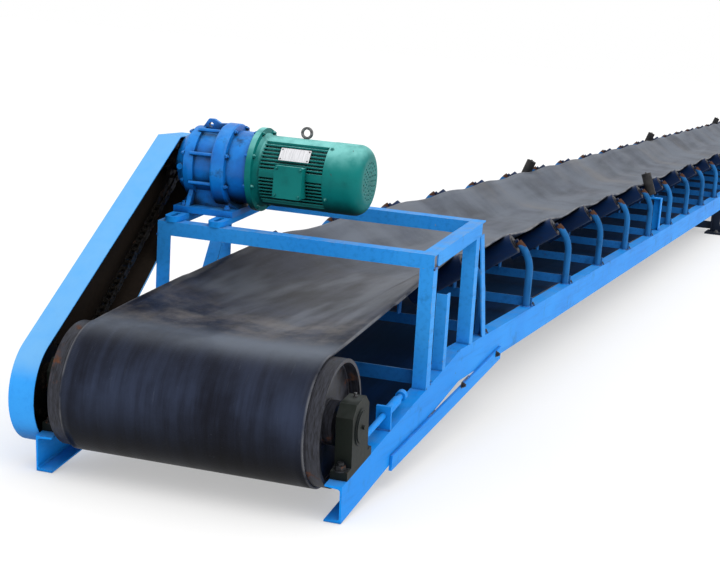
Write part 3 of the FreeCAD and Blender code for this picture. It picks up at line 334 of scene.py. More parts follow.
def softRubber(name):
    f = Finish(name)
    fine = f.noise(160, 4)
    color = f.mix(f.span(f.noise(20, 5), 0.35, 0.7), rgb(24, 25, 28), rgb(52, 50, 50))
    return f.finish(color, 0.55 + fine * 0.2, f.bump(fine, 0.0004), **{"Specular IOR Level": 0.3})


guideRubber = softRubber("guideRubber")


def middle(node):
    low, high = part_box(node)
    return (low + high) / 2


def guardFinish():
    # The guard's casing is sky blue outside. Inside it is near black: chain grease and painted shade.
    drum, drive = middle("drum_sprocket"), middle("drive_sprocket")
    span = Vector((drive.x - drum.x, 0, drive.z - drum.z))
    ahead = span.normalized()

    def inside(f):
        flat = f.vector("MULTIPLY", f.place, (1, 0, 1))
        off = f.vector("SUBTRACT", flat, (drum.x, 0, drum.z))
        share = f.add("ShaderNodeClamp", None, {0: f.vector("DOT_PRODUCT", off, tuple(ahead), "Value"),
                                                1: 0.0, 2: span.length})
        near = f.add("ShaderNodeVectorMath", {"operation": "SCALE"}, {0: tuple(ahead), "Scale": share})
        outward = f.vector("DOT_PRODUCT", f.vector("SUBTRACT", off, near), f.normal(), "Value")
        deep = f.span(f.part(f.place, "Y"), half + 0.003, half + 0.005)
        back = f.span(0 - f.facing("Y"), 0.7, 0.8)
        return f.span(f.span(0 - outward, 0.0, 0.01) + back, 0.0, 1.0) * deep * 3.0

    # Its light blue powder on upward faces is a painted highlight. Its bare colours also paint the inside dark, as
    # grease and painted shade.
    look = {**paint, "base": rgb(54, 154, 236), "second": rgb(66, 164, 242), "rough": 0.44, "wear": 0.3,
            "thin": rgb(40, 132, 220), "streak": 0.3, "bareAndInside": rgb(24, 22, 20),
            "bright": rgb(44, 36, 30), "dustAndHighlightShare": 0.75, "dustAndHighlight": rgb(118, 178, 226), "lies": (0.2, 0.6),
            "patchy": (-0.6, 0.7)}
    return enamel("guardBlue", look, inside)


finishes = {"blue": bluePaint, "navy": supportShadePaint, "roller_paint": rollPaint, "belt": beltTop, "drum_steel": drumSteel,
            "bearing_olive": castPaint, "reducer_blue": reducerPaint, "motor_green": motorPaint,
            "bright_steel": boltSteel, "chain_steel": chainSteel, "guide_rubber": guideRubber}
ownFinish = {"chain_guard": guardFinish(), "idler_arms": armPaint, "idler_posts": crossPaint,
             "cross_angles": crossPaint, "head_cross_angle": crossPaint, "table_front_bar": tablePaint,
             "table_rear_bar": tablePaint, "table_side_bars": tablePaint, "table_front_legs": tablePaint,
             "table_rear_legs": tablePaint, "table_braces": tablePaint, "stub_posts": tablePaint}
slotOf = {part["node"]: part["material_slot"] for part in frame["record"]["subparts"]}
for nodeName, slotName in slotOf.items():
    mesh = frame["nodes"][nodeName].data
    mesh.materials.clear()
    mesh.materials.append(ownFinish.get(nodeName, finishes[slotName]))
print("finishes made")


def meshPiece(name, verts, faces, material, smooth=True):
    mesh = bpy.data.meshes.new(name)
    mesh.from_pydata([tuple(v) for v in verts], [], faces)
    mesh.materials.append(material)
    mesh.polygons.foreach_set("use_smooth", [smooth] * len(mesh.polygons))
    mesh.update()
    piece = bpy.data.objects.new(name, mesh)
    bpy.context.scene.collection.objects.link(piece)
    return piece


def recalced(piece):
    shell = bmesh.new()
    shell.from_mesh(piece.data)
    bmesh.ops.recalc_face_normals(shell, faces=shell.faces)
    shell.to_mesh(piece.data)
    shell.free()
    return piece


table = {"back": 0.5, "rise": 0.518, "driveAlong": 0.237, "driveUp": 0.18}  # its front corner is placed from the knee
idlerRow = {"first": 0.349, "gap": 0.843, "count": 19}


def onHead(s, y, h):  # s along the slope, y across, h square up from it
    return Vector((kneeX + s * math.cos(dip) - h * math.sin(dip), y, kneeZ + s * math.sin(dip) + h * math.cos(dip)))


def onTable(s, y, h):
    return Vector((kneeX - table["back"] + s * math.cos(lean) - h * math.sin(lean), y,
                   kneeZ + table["rise"] + s * math.sin(lean) + h * math.cos(lean)))


up = Vector((0, 0, 1))
headUp = Vector((-math.sin(dip), 0, math.cos(dip)))
tableUp = Vector((-math.sin(lean), 0, math.cos(lean)))
driveAxis = onTable(table["driveAlong"], 0, table["driveUp"])
idlers = [kneeX + idlerRow["first"] + idlerRow["gap"] * i for i in range(idlerRow["count"])]


# Belt.
belt = {"width": 0.8, "thick": 0.0085, "flat": 0.315, "fold": math.radians(35), "bend": 0.14, "play": 0.0003,
        "step": 0.055, "across": 26, "wrapSteps": 40,
        "sag": 0.0065, "endSag": 0.003, "headSag": 0.01, "slack": 0.018, "slacks": 6,
        "open": math.radians(2.1), "folded": 0.3, "firm": 0.24, "limp": 0.16, "ripple": 0.0012,
        "waves": ((19, 1.0, 0.6), (8.7, 1.3, 0.4)), "phase": 2.1}  # each wave: how often, share of the phase, weight


def beltPath():
    # The face that lies on the drums, once round from the crest of the head drum: place, direction of travel, fold of
    # the wings and sag. Also the row at which the wrap round the head drum starts.
    troughLow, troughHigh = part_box("belt_trough")
    backLow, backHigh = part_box("belt_return")
    head, tail = middle("head_drum"), middle("tail_drum")
    low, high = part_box("head_drum")
    radius = (high.x - low.x) / 2 + belt["play"]
    firstX, lastX, topZ, backZ = troughLow.x, troughHigh.x, troughLow.z, backHigh.z
    rows = []

    def run(a, b, foldA, foldB, sag):
        count = max(2, round((b - a).length / belt["step"]))
        for i in range(count):
            u = i / count
            fold = math.atan2(foldA * (1 - u) + foldB * u, 1.0)
            rows.append((a.lerp(b, u), (b - a).normalized(), fold, math.sin(math.pi * u) ** 2 * sag))

    def wrap(centre, start, turn):
        for i in range(belt["wrapSteps"]):
            out = outwards(start + turn * i / belt["wrapSteps"])
            rows.append((centre + out * radius, Vector((out.z, 0, -out.x)), 0.0, 0.0))

    def outwards(a):
        return Vector((math.cos(a), 0, math.sin(a)))

    def leave(centre, bend):  # where a slope from the bend touches the underside of the drum
        reach = Vector((bend.x - centre.x, 0, bend.z - centre.z))
        side = 1 if reach.x > 0 else -1
        return math.atan2(reach.z, reach.x) - side * (math.pi / 2 - math.asin(radius / reach.length))

    troughFold = math.tan(belt["fold"])
    headBend, tailBend = Vector((backLow.x, 0, backZ)), Vector((backHigh.x, 0, backZ))
    headTop, tailTop = (Vector((c.x, 0, c.z + radius)) for c in (head, tail))
    head, tail = (Vector((c.x, 0, c.z)) for c in (head, tail))
    run(headTop, Vector((firstX, 0, topZ)), 0.0, troughFold, belt["endSag"])
    pitch = (lastX - firstX) / (len(idlers) - 1)
    for i in range(len(idlers) - 1):
        a = Vector((firstX + pitch * i, 0, topZ))
        run(a, a + Vector((pitch, 0, 0)), troughFold, troughFold, belt["sag"])
    run(Vector((lastX, 0, topZ)), tailTop, troughFold, 0.0, belt["endSag"])
    tailLeave, headLeave = leave(tail, tailBend), leave(head, headBend)
    tailLeave -= 2 * math.pi if tailLeave > 0 else 0.0
    headLeave += 2 * math.pi if headLeave <= 0 else 0.0
    wrap(tail, math.pi / 2, tailLeave - math.pi / 2)
    run(tail + outwards(tailLeave) * radius, tailBend, 0.0, 0.0, 0.0)
    gap = (tailBend.x - headBend.x) / belt["slacks"]
    for i in range(belt["slacks"]):
        a = tailBend - Vector((gap * i, 0, 0))
        run(a, a - Vector((gap, 0, 0)), 0.0, 0.0, belt["slack"])
    run(headBend, head + outwards(headLeave) * radius, 0.0, 0.0, belt["headSag"])
    headStart = len(rows)
    wrap(head, headLeave, math.pi / 2 - headLeave)
    return rows, headStart


def beltSection(fold, t):
    # Across the belt: flat middle, round bend, straight wing. Returns side and rise, and the slope there.
    side, t = (1 if t >= 0 else -1), abs(t)
    flat, bend = belt["flat"] / 2, belt["bend"]
    start = flat - bend * math.tan(fold / 2)
    if fold < 1e-4 or t < start:
        return side * t, 0.0, 0.0
    a = min((t - start) / bend, fold)
    y, z = start + bend * math.sin(a), bend * (1 - math.cos(a))
    past = max(0.0, t - start - bend * fold)
    return side * (y + past * math.cos(fold)), z + past * math.sin(fold), side * a


def makeBelt():
    rows, headStart = beltPath()
    across = [(-0.5 + i / belt["across"]) * belt["width"] for i in range(belt["across"] + 1)]
    inner, outer, uvs = [], [], []
    length = 0.0
    previous = rows[0][0]
    for place, tangent, fold, sink in rows:
        length += (place - previous).length
        previous = place
        out = Vector((-tangent.z, 0, tangent.x))
        share = min(sink / belt["sag"], 1.0)
        opened = max(0.0, fold - (belt["open"] * share if fold > belt["folded"] else 0.0))
        for t in across:
            y, z, slope = beltSection(opened, t)
            reach = max(0.0, abs(t) - belt["firm"]) / belt["limp"]
            phase = belt["phase"] if t > 0 else 0.0
            wave = sum(math.sin(length * often + shift * phase) * weight for often, shift, weight in belt["waves"])
            z += reach ** 2 * wave * belt["ripple"] * share - sink
            spot = place + Vector((0, y, 0)) + out * z
            slant = Vector((0, -math.sin(slope), 0)) + out * math.cos(slope)
            inner.append(spot)
            outer.append(spot + slant * belt["thick"])
            uvs.append((length, t))
    total = length + (rows[0][0] - previous).length
    n, m = len(rows), len(across)
    faces, backs = [], []
    for i in range(n):
        j = (i + 1) % n
        for k in range(m - 1):
            a, b, c, d = i * m + k, i * m + k + 1, j * m + k + 1, j * m + k
            faces.append((a, d, c, b))
            backs.append(tuple(v + n * m for v in (a, b, c, d)))
        for k, turn in ((0, 1), (m - 1, -1)):
            a, d = i * m + k, j * m + k
            faces.append((a, a + n * m, d + n * m, d)[::turn])
    piece = meshPiece("belt", outer + inner, faces + backs, beltTop)
    piece.data.materials.append(beltInside)
    piece.data.polygons.foreach_set("material_index", [0] * len(faces) + [1] * len(backs))
    layer = piece.data.uv_layers.new(name="run")
    for polygon in piece.data.polygons:
        corners = [v % (n * m) for v in polygon.vertices]
        onHeadDrum = all(v < m or v >= headStart * m for v in corners)  # there u runs up to 0 at the crest
        for loop, v in zip(polygon.loop_indices, corners):
            u, t = uvs[v]
            layer.data[loop].uv = (u - total if onHeadDrum and v >= m else u, t)
    recalced(piece)
    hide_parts(*[name for name in frame["nodes"] if name.startswith("belt_")])
    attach(piece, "frame")
    print("belt made,", len(piece.data.polygons), "faces,", round(total, 2), "m")


makeBelt()


# What repeats is grown on marked points or along lines.
class Grow(Nodes):
    def __init__(self, name, sizes):
        tree = bpy.data.node_groups.new(name, "GeometryNodeTree")
        super().__init__(tree)
        self.keys = {}
        tree.interface.new_socket("Geometry", in_out="INPUT", socket_type="NodeSocketGeometry")
        for label, value in sizes.items():
            socket = tree.interface.new_socket(label, in_out="INPUT", socket_type="NodeSocketFloat")
            self.keys[label] = (socket.identifier, value)
        tree.interface.new_socket("Geometry", in_out="OUTPUT", socket_type="NodeSocketGeometry")
        self.given = tree.nodes.new("NodeGroupInput")

    def take(self, label):
        return Sock(self, self.given.outputs[label])

    def marked(self, name, kind="FLOAT_VECTOR"):
        return self.add("GeometryNodeInputNamedAttribute", {"data_type": kind}, {"Name": name})

    def joined(self, shapes):
        return self.add("GeometryNodeJoinGeometry", None, {"Geometry": shapes})

    def moved(self, shape, height):
        up = self.add("ShaderNodeCombineXYZ", None, {"Z": height})
        return self.add("GeometryNodeTransform", None, {"Geometry": shape, "Translation": up})

    def barrel(self, sides, radius, depth, height):  # round or many-sided, its foot at this height
        shape = self.add("GeometryNodeMeshCone", None, {"Vertices": sides, "Radius Top": radius,
                                                        "Radius Bottom": radius, "Depth": depth})
        return self.moved(shape, height)

    def placed(self, shape):  # one copy on each point, its z along "aim", turned at random about it
        turn = self.add("FunctionNodeAlignRotationToVector", {"axis": "Z"}, {"Vector": self.marked("aim")})
        spin = self.add("FunctionNodeRandomValue", {"data_type": "FLOAT"}, {2: 0.0, 3: 6.28, "Seed": 7}, 1)
        roll = self.add("FunctionNodeAxisAngleToRotation", None, {"Axis": (0, 0, 1), "Angle": spin})
        turn = self.add("FunctionNodeRotateRotation", {"rotation_space": "LOCAL"}, {"Rotation": turn,
                                                                                    "Rotate By": roll})
        return self.add("GeometryNodeInstanceOnPoints", None, {
            "Points": self.take("Geometry"), "Instance": shape, "Rotation": turn,
            "Scale": self.marked("size", "FLOAT")})

    def end(self, shape, material):
        shape = self.add("GeometryNodeRealizeInstances", None, {"Geometry": shape})
        shape = self.add("GeometryNodeSetMaterial", None, {"Geometry": shape, "Material": material})
        self.add("NodeGroupOutput", None, {"Geometry": shape})
        return self


def grown(name, tree, base, body):
    # Runs the tree on a base mesh and keeps the result as a plain mesh piece on its body.
    holder = bpy.data.objects.new(name + "Base", base)
    bpy.context.scene.collection.objects.link(holder)
    growth = holder.modifiers.new("grow", "NODES")
    growth.node_group = tree.tree
    for key, value in tree.keys.values():
        growth[key] = value
    result = bpy.data.meshes.new_from_object(holder.evaluated_get(bpy.context.evaluated_depsgraph_get()))
    bpy.data.objects.remove(holder)
    result.name = name
    for label in ("aim", "size"):
        if label in result.attributes:
            result.attributes.remove(result.attributes[label])
    piece = bpy.data.objects.new(name, result)
    bpy.context.scene.collection.objects.link(piece)
    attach(piece, body)
    print(name, "grown,", len(result.polygons), "faces")


def marks(spots):  # a mesh of points that carry their direction and size
    mesh = bpy.data.meshes.new("marks")
    mesh.from_pydata([tuple(place) for place, aim, size in spots], [], [])
    mesh.attributes.new("aim", "FLOAT_VECTOR", "POINT")
    mesh.attributes.new("size", "FLOAT", "POINT")
    mesh.attributes["aim"].data.foreach_set("vector", [c for place, aim, size in spots for c in aim])
    mesh.attributes["size"].data.foreach_set("value", [size for place, aim, size in spots])
    return mesh


def lines(paths):  # a mesh of edges; each path is a list of points, closed where it ends as it starts
    verts, edges = [], []
    for path in paths:
        closed = (Vector(path[0]) - Vector(path[-1])).length < 1e-6
        points = path[:-1] if closed else path
        first = len(verts)
        verts += [tuple(p) for p in points]
        edges += [(first + i, first + i + 1) for i in range(len(points) - 1)]
        if closed:
            edges.append((first + len(points) - 1, first))
    mesh = bpy.data.meshes.new("lines")
    mesh.from_pydata(verts, edges, [])
    return mesh


# Every length is a share of the bolt's thread size, which is each point's own size.
bolt = {"Head": 0.88, "Head height": 0.65, "Washer": 1.1, "Thread end": 0.5}
boltSteps = {"crown": 0.92, "headFoot": 0.15, "washer": 0.2, "washerFoot": -0.05, "thread": 0.5, "threadFoot": 0.1}


def boltTree(material, name):
    t = Grow(name, bolt)
    washer = t.barrel(16, t.take("Washer"), boltSteps["washer"], boltSteps["washerFoot"])
    head = t.add("GeometryNodeMeshCone", None, {"Vertices": 6, "Radius Top": t.take("Head") * boltSteps["crown"],
                                                "Radius Bottom": t.take("Head"),
                                                "Depth": t.take("Head height")})
    head = t.moved(head, boltSteps["headFoot"])
    thread = t.barrel(12, boltSteps["thread"], t.take("Thread end") + t.take("Head height"), boltSteps["threadFoot"])
    return t.end(t.placed(t.joined([washer, head, thread])), material)


hexBolt = boltTree(boltSteel, "hexBolt")
darkBolt = boltTree(blackBolt, "darkBolt")
greenBolt = boltTree(motorPaint, "greenBolt")
reducerBolt = boltTree(reducerPaint, "reducerBolt")


# Bolts of the frame and table.
bearing = {"along": -1.159, "side": 0.484, "top": 0.148, "centre": 0.2546}  # on the head channels
frameBolts = {"foot": 0.012, "footAfter": 0.062, "footIn": 0.014, "bearing": 0.02, "bearingGap": 0.1,
              "stub": (-0.37, 0.03, 0.125), "tie": ((0.018, -0.0158), (0.54, 0.019)), "tieOut": 0.01,
              "rail": 0.016, "railAt": (0.65, 0.02), "railIn": (0.215, 0.05),
              "motor": 0.013, "motorAlong": 0.125, "motorTop": 0.042,
              "anchor": 0.018, "anchorAlong": 0.09, "anchorSide": 0.4825, "anchorTop": 0.014, "legs": 3, "legGap": 3.9}


def makeFrameBolts():
    b = frameBolts
    dark, bright = [], []
    for side in (-1, 1):
        for x in idlers:
            dark.append(((x + b["footAfter"], side * (half - b["footIn"]), channelTop), up, b["foot"]))
        for gap in (-b["bearingGap"], b["bearingGap"]):
            spot = onHead(bearing["along"] + gap, side * bearing["side"], bearing["top"])
            dark.append((spot, headUp, b["bearing"]))
        along, inwards, height = b["stub"]
        dark.append((onHead(along, side * (half - inwards), height), headUp, b["foot"]))
        for x, z in b["tie"]:
            spot = Vector((kneeX + x, side * (half + b["tieOut"]), kneeZ + z))
            dark.append((spot, Vector((0, side, 0)), b["foot"]))
    along, height = b["railAt"]
    for inwards in b["railIn"]:
        bright.append((onTable(along, half - inwards, height), tableUp, b["rail"]))
    for leg in range(b["legs"]):
        for x in (-b["anchorAlong"], b["anchorAlong"]):
            for side in (-1, 1):
                bright.append(((b["legGap"] * leg + x, side * b["anchorSide"], b["anchorTop"]), up, b["anchor"]))
    feet = [(onTable(table["driveAlong"] + x, half - inwards, b["motorTop"]), tableUp, b["motor"])
            for x in (-b["motorAlong"], b["motorAlong"]) for inwards in b["railIn"]]
    grown("darkBolts", darkBolt, marks(dark), "frame")
    grown("brightBolts", hexBolt, marks(bright), "frame")
    grown("footBolts", reducerBolt, marks(feet), "frame")


makeFrameBolts()


# Bolts of the drive. Each ring round its axis: radius, count, y past the channel, which way, thread, first angle.
driveRings = {
    "motor": ((0.141, 8, -0.306, -1, 0.0085, 0.39), (0.096, 4, -0.3195, -1, 0.01, 0.78)),
    "reducer": ((0.142, 8, -0.2045, -1, 0.0095, 0.39 + lean), (0.141, 8, -0.2845, 1, 0.0085, 0.39),
                (0.126, 8, -0.0415, 1, 0.01, 0.39 + lean), (0.05, 6, 0.0102, 1, 0.008, 0.2))}
cowlScrews = {"count": 4, "first": 0.6, "in": 0.576, "radius": 0.1262, "thread": 0.007}
lidScrews = {"in": (0.498, 0.411), "rise": (-0.068, 0.026), "out": 0.1702, "thread": 0.005}


def makeDriveBolts():
    rings = {}
    for name, rows in driveRings.items():
        rings[name] = []
        for radius, count, past, way, thread, first in rows:
            for i in range(count):
                a = first + 2 * math.pi * i / count
                spot = Vector((driveAxis.x + radius * math.cos(a), half + past, driveAxis.z + radius * math.sin(a)))
                rings[name].append((spot, Vector((0, way, 0)), thread))
    green = rings["motor"]
    for i in range(cowlScrews["count"]):
        a = cowlScrews["first"] + 2 * math.pi / cowlScrews["count"] * i
        out = Vector((math.cos(a), 0, math.sin(a)))
        foot = Vector((driveAxis.x, half - cowlScrews["in"], driveAxis.z))
        green.append((foot + out * cowlScrews["radius"], out, cowlScrews["thread"]))
    for inwards in lidScrews["in"]:
        for z in lidScrews["rise"]:
            spot = (driveAxis.x - lidScrews["out"], half - inwards, driveAxis.z + z)
            green.append((spot, Vector((-1, 0, 0)), lidScrews["thread"]))
    grown("motorBolts", greenBolt, marks(green), "frame")
    grown("reducerBolts", reducerBolt, marks(rings["reducer"]), "frame")


makeDriveBolts()


# Weld beads.
welds = {"bead": 0.0042, "ripple": 0.0009, "waves": 640.0, "step": 0.006, "sides": 6, "clear": 0.0005,
         "arm": (0.482, 0.0165), "armSteps": 20, "post": (0.503, 0.455), "postAfter": 0.016,
         "legDeep": 0.05, "frontLeg": (0.0, 0.05), "frontFoot": -0.62, "frontTop": -0.05, "rearLeg": (0.57, -0.6),
         "tie": ((-0.83, -0.105), (0.62, 0.038)), "tieBeads": ((0.3, 0.36), (0.62, 0.68)),
         "stub": (-0.842, 0.1205), "stubSide": (0.459, 0.509),
         "rim": 0.1875, "rimSide": 0.4052, "rimSteps": 48, "hub": {"head": 0.07, "tail": 0.06}}


def weldTree(material):
    t = Grow("weldLine", {"Bead": welds["bead"], "Ripple": welds["ripple"], "Waves": welds["waves"]})
    path = t.add("GeometryNodeMeshToCurve", None, {"Mesh": t.take("Geometry")})
    path = t.add("GeometryNodeResampleCurve", {"mode": "LENGTH"}, {"Curve": path, "Length": welds["step"]})
    length = t.add("GeometryNodeSplineParameter", out="Length")
    wave = t.add("ShaderNodeMath", {"operation": "SINE"}, {0: length * t.take("Waves")})
    path = t.add("GeometryNodeSetCurveRadius", None, {"Curve": path,
                                                      "Radius": t.take("Bead") + wave * t.take("Ripple")})
    ring = t.add("GeometryNodeCurvePrimitiveCircle", None, {"Resolution": welds["sides"], "Radius": 1.0})
    radius = t.add("GeometryNodeInputRadius")
    bead = t.add("GeometryNodeCurveToMesh", None, {"Curve": path, "Profile Curve": ring, "Scale": radius,
                                                   "Fill Caps": True})
    return t.end(bead, material)


def circle(centre, radius, axis, count):  # its last point lies on its first, which closes it
    x = axis.orthogonal().normalized()
    y = axis.cross(x)
    turns = [2 * math.pi * i / count for i in range(count + 1)]
    return [centre + (x * math.cos(a) + y * math.sin(a)) * radius for a in turns]


def headTopAt(x):  # top of the side channels at this x
    s = (x - kneeX) / math.cos(dip)
    return kneeZ + s * math.sin(dip) + channelTall / math.cos(dip) if x < kneeX else channelTop


def makeWelds():
    armSide, armRadius = welds["arm"]
    paths = []
    for side in (-1, 1):
        face = side * (half + welds["clear"])
        depths = (side * half, side * (half - welds["legDeep"]))
        for x in idlers:
            paths.append(circle(Vector((x, side * armSide, channelTop)), armRadius, up, welds["armSteps"]))
            paths.append([Vector((x + welds["postAfter"], side * y, channelTop + welds["clear"]))
                          for y in welds["post"]])
        for s in welds["frontLeg"]:
            x = onTable(s, 0, welds["frontFoot"]).x
            paths.append([Vector((x, y, headTopAt(x))) for y in depths])
        along, foot = welds["rearLeg"]
        x = onTable(along, 0, foot).x
        paths.append([Vector((x, y, channelTop)) for y in depths])
        paths.append([onTable(s, face, welds["frontTop"]) for s in welds["frontLeg"]])
        start, end = (Vector((kneeX + x, face, kneeZ + z)) for x, z in welds["tie"])
        for span in welds["tieBeads"]:
            paths.append([start.lerp(end, u) for u in span])
        along, height = welds["stub"]
        paths.append([onHead(along, side * y, height) for y in welds["stubSide"]])
    grown("frameWelds", weldTree(weldBead), lines(paths), "frame")
    for end, hub in welds["hub"].items():
        at = middle(end + "_drum")
        rings = []
        for side in (-1, 1):
            for radius in (welds["rim"], hub):
                centre = Vector((at.x, side * welds["rimSide"], at.z))
                rings.append(circle(centre, radius, Vector((0, side, 0)), welds["rimSteps"]))
        grown(end + "DrumWelds", weldTree(drumSteel), lines(rings), end + "_drum_body")


makeWelds()


# Roll ends, chain rivets and other round trim, of stacked discs. Each row: sides, radius, depth, foot.
def discTree(name, material, rows):
    t = Grow(name, {"Width": 1.0})
    shapes = [t.barrel(sides, t.take("Width") * radius, depth, foot) for sides, radius, depth, foot in rows]
    return t.end(t.placed(t.joined(shapes)), material)


rollCap = {"rows": ((24, 0.039, 0.0025, -0.001), (20, 0.026, 0.006, -0.001), (6, 0.0135, 0.010, -0.001)),
           "centreSide": 0.1525, "wingSide": 0.1575, "wingRise": 0.268, "wingIn": 0.02, "wingOff": 0.0448,
           "wingLong": 0.25, "backSide": 0.43, "backSize": 0.66, "backs": 7, "backFirst": 0.6, "backGap": 2.529}


def makeRollCaps():
    spots = []
    z = middle("centre_rolls").z
    for x in idlers:
        for side in (-1, 1):
            spots.append(((x, side * rollCap["centreSide"], z), Vector((0, side, 0)), 1.0))
    fold = belt["fold"]
    for x in idlers:
        for side in (-1, 1):
            along = Vector((0, side * math.cos(fold), math.sin(fold)))
            away = Vector((0, side * math.sin(fold), -math.cos(fold)))
            start = Vector((x, side * rollCap["wingSide"], kneeZ + rollCap["wingRise"]))
            start = start + along * rollCap["wingIn"] + away * rollCap["wingOff"]
            spots.append((start + along * rollCap["wingLong"], along, 1.0))
    z = middle("return_rolls").z
    for i in range(rollCap["backs"]):
        x = kneeX + rollCap["backFirst"] + rollCap["backGap"] * i
        for side in (-1, 1):
            spots.append(((x, side * rollCap["backSide"], z), Vector((0, side, 0)), rollCap["backSize"]))
    grown("rollCaps", discTree("rollCap", drumSteel, rollCap["rows"]), marks(spots), "frame")


makeRollCaps()


chain = {"links": 88, "side": 0.56, "plates": 0.0135, "pitch": 0.03175, "drum": 23, "drive": 12,
         "rows": ((10, 0.0042, 0.003, 0.0),)}


def makeChainRivets():
    a, b = middle("drum_sprocket"), driveAxis
    ra, rb = (chain["pitch"] / 2 / math.sin(math.pi / chain[k]) for k in ("drum", "drive"))
    dx, dz = b.x - a.x, b.z - a.z
    reach = math.hypot(dx, dz)
    base, opened = math.atan2(dz, dx), math.acos((ra - rb) / reach)
    strand = math.sqrt(reach ** 2 - (ra - rb) ** 2)
    arcs = (strand, rb * 2 * opened, strand, ra * (2 * math.pi - 2 * opened))

    def on(centre, radius, angle):
        return centre.x + radius * math.cos(angle), centre.z + radius * math.sin(angle)

    def between(p, q, u):
        return [start + (end - start) * u for start, end in zip(p, q)]

    def at(s):  # a place on the chain: strand, drive sprocket, strand, drum sprocket
        if s < arcs[0]:
            return between(on(a, ra, base + opened), on(b, rb, base + opened), s / strand)
        s -= arcs[0]
        if s < arcs[1]:
            return on(b, rb, base + opened - s / rb)
        s -= arcs[1]
        if s < arcs[2]:
            return between(on(b, rb, base - opened), on(a, ra, base - opened), s / strand)
        return on(a, ra, base - opened - (s - arcs[2]) / ra)

    spots = []
    for i in range(chain["links"]):
        x, z = at(sum(arcs) * i / chain["links"])
        for side in (-1, 1):
            spots.append(((x, chain["side"] + side * chain["plates"], z), Vector((0, side, 0)), 1.0))
    grown("chainRivets", discTree("chainRivet", chainSteel, chain["rows"]), marks(spots), "frame")


makeChainRivets()


bearingCap = {"out": 0.027, "rows": ((40, 0.058, 0.004, -0.0005), (36, 0.05, 0.0075, -0.0005), (12, 0.007, 0.014, 0.0))}
nipple = {"after": 0.02, "rise": 0.086, "lean": math.radians(20), "guideRise": 0.062, "guideSize": 1.15,
          "rows": ((6, 0.007, 0.006, -0.001), (10, 0.004, 0.012, 0.0), (10, 0.0052, 0.004, 0.010))}


def makeTrim():
    centre = onHead(bearing["along"], -bearing["side"], bearing["centre"])
    caps = [(centre - Vector((0, bearingCap["out"], 0)), Vector((0, -1, 0)), 1.0)]
    grown("bearingCap", discTree("bearingCap", castPaint, bearingCap["rows"]), marks(caps), "frame")
    grease = [(onHead(bearing["along"] + nipple["after"], side * bearing["side"], bearing["centre"] + nipple["rise"]),
               headUp, 1.0) for side in (-1, 1)]
    for side, hand in ((-1, "right"), (1, "left")):
        along = Vector((0, -side * math.sin(nipple["lean"]), math.cos(nipple["lean"])))
        for i in (1, 2, 3):
            top = middle(f"guide_roller_{hand}_{i}") + along * nipple["guideRise"]
            grease.append((top, along, nipple["guideSize"]))
    grown("greaseNipples", discTree("greaseNipple", boltSteel, nipple["rows"]), marks(grease), "frame")


makeTrim()


# Bare nameplate on the motor.
plate = {"long": 0.112, "tall": 0.05, "thick": 0.0012, "angle": math.radians(146), "radius": 0.1268, "in": 0.452,
         "rivetAlong": 0.05, "rivetUp": 0.019, "rows": ((10, 0.0028, 0.0016, -0.0004),)}


def makeNameplate():
    a = plate["angle"]
    out, rise = Vector((math.cos(a), 0, math.sin(a))), Vector((-math.sin(a), 0, math.cos(a)))
    centre = Vector((driveAxis.x, half - plate["in"], driveAxis.z)) + out * plate["radius"]
    verts = []
    for depth in (0.0, plate["thick"]):
        for u, v in ((-1, -1), (1, -1), (1, 1), (-1, 1)):
            verts.append(centre + Vector((0, u * plate["long"] / 2, 0)) + rise * (v * plate["tall"] / 2) + out * depth)
    faces = [(0, 1, 2, 3), (7, 6, 5, 4), (0, 4, 5, 1), (1, 5, 6, 2), (2, 6, 7, 3), (3, 7, 4, 0)]
    piece = recalced(meshPiece("motorNameplate", verts, faces, plateSteel, False))
    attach(piece, "frame")
    rivets = []
    for u in (-1, 1):
        for v in (-1, 1):
            spot = centre + Vector((0, u * plate["rivetAlong"], 0)) + rise * (v * plate["rivetUp"])
            rivets.append((spot + out * plate["thick"], out, 1.0))
    grown("plateRivets", discTree("plateRivet", boltSteel, plate["rows"]), marks(rivets), "frame")


makeNameplate()


# Floor, light and camera.
stage = {"reach": 60, "z": -0.002, "pale": (0.53, 0.53, 0.53, 1), "paler": (0.56, 0.56, 0.56, 1), "glow": 0.42}
sunLight = {"from": (-0.45, -0.5, 1.0), "power": 0.95, "angle": 50, "tint": (1, 0.99, 0.97)}


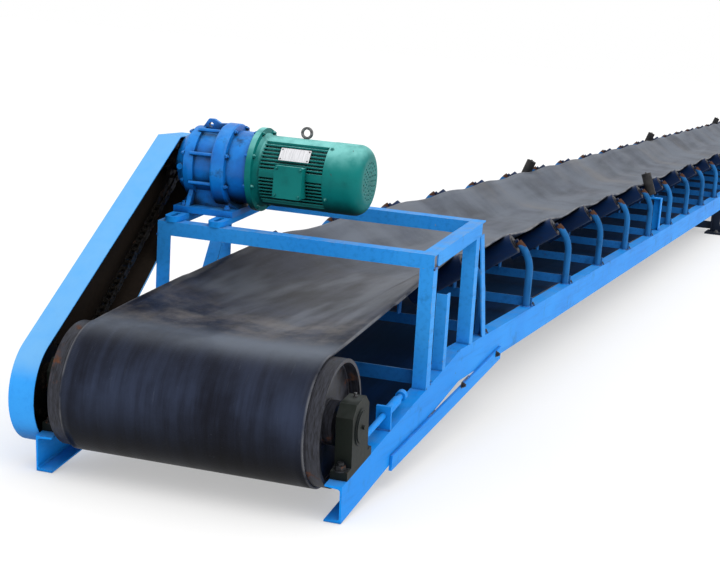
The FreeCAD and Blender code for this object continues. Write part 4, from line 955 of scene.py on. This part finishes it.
def makeStage():
    f = Finish("studioFloor")
    f.finish(f.mix(f.noise(0.7), stage["pale"], stage["paler"]), 0.7,
             **{"Specular IOR Level": 0.0, "Emission Color": (1, 1, 1, 1), "Emission Strength": stage["glow"]})
    reach, z = stage["reach"], stage["z"]
    corners = [(-reach, -reach, z), (reach, -reach, z), (reach, reach, z), (-reach, reach, z)]
    floor = meshPiece("floor", corners, [(0, 1, 2, 3)], f.material, False)
    world = bpy.data.worlds.new("studio")
    bpy.context.scene.world = world
    world.use_nodes = True
    sky = world.node_tree.nodes["Background"].inputs
    sky["Color"].default_value, sky["Strength"].default_value = (1.0, 1.0, 1.0, 1), 1.0


def makeLamps():
    light = bpy.data.lights.new("softSun", "SUN")
    light.energy, light.angle, light.color = sunLight["power"], math.radians(sunLight["angle"]), sunLight["tint"]
    lamp = bpy.data.objects.new("softSun", light)
    bpy.context.scene.collection.objects.link(lamp)
    lamp.rotation_euler = (-Vector(sunLight["from"])).to_track_quat("-Z", "Y").to_euler()


view = {"at": (-14.7172, -2.0344, 1.5054), "yaw": 17.29, "pitch": 8.46, "roll": 5.01, "lens": 88.59, "sensor": 36.0,
        "far": 200}


def makeCamera():
    yaw, pitch, roll = (math.radians(view[k]) for k in ("yaw", "pitch", "roll"))
    ahead = Vector((math.cos(yaw) * math.cos(pitch), math.sin(yaw) * math.cos(pitch), -math.sin(pitch)))
    right = Vector((math.sin(yaw), -math.cos(yaw), 0))
    over = right.cross(ahead)
    x = right * math.cos(roll) + over * math.sin(roll)
    y = over * math.cos(roll) - right * math.sin(roll)
    data = bpy.data.cameras.new("camera")
    data.lens, data.sensor_width, data.sensor_fit = view["lens"], view["sensor"], "HORIZONTAL"
    data.clip_end = view["far"]
    camera = bpy.data.objects.new("camera", data)
    bpy.context.scene.collection.objects.link(camera)
    turn = Matrix((x, y, -ahead)).transposed()
    camera.matrix_world = Matrix.Translation(view["at"]) @ turn.to_4x4()
    bpy.context.scene.camera = camera


makeStage()
makeLamps()
makeCamera()
bpy.context.scene.view_settings.view_transform = "Standard"
print("floor, light and camera made")
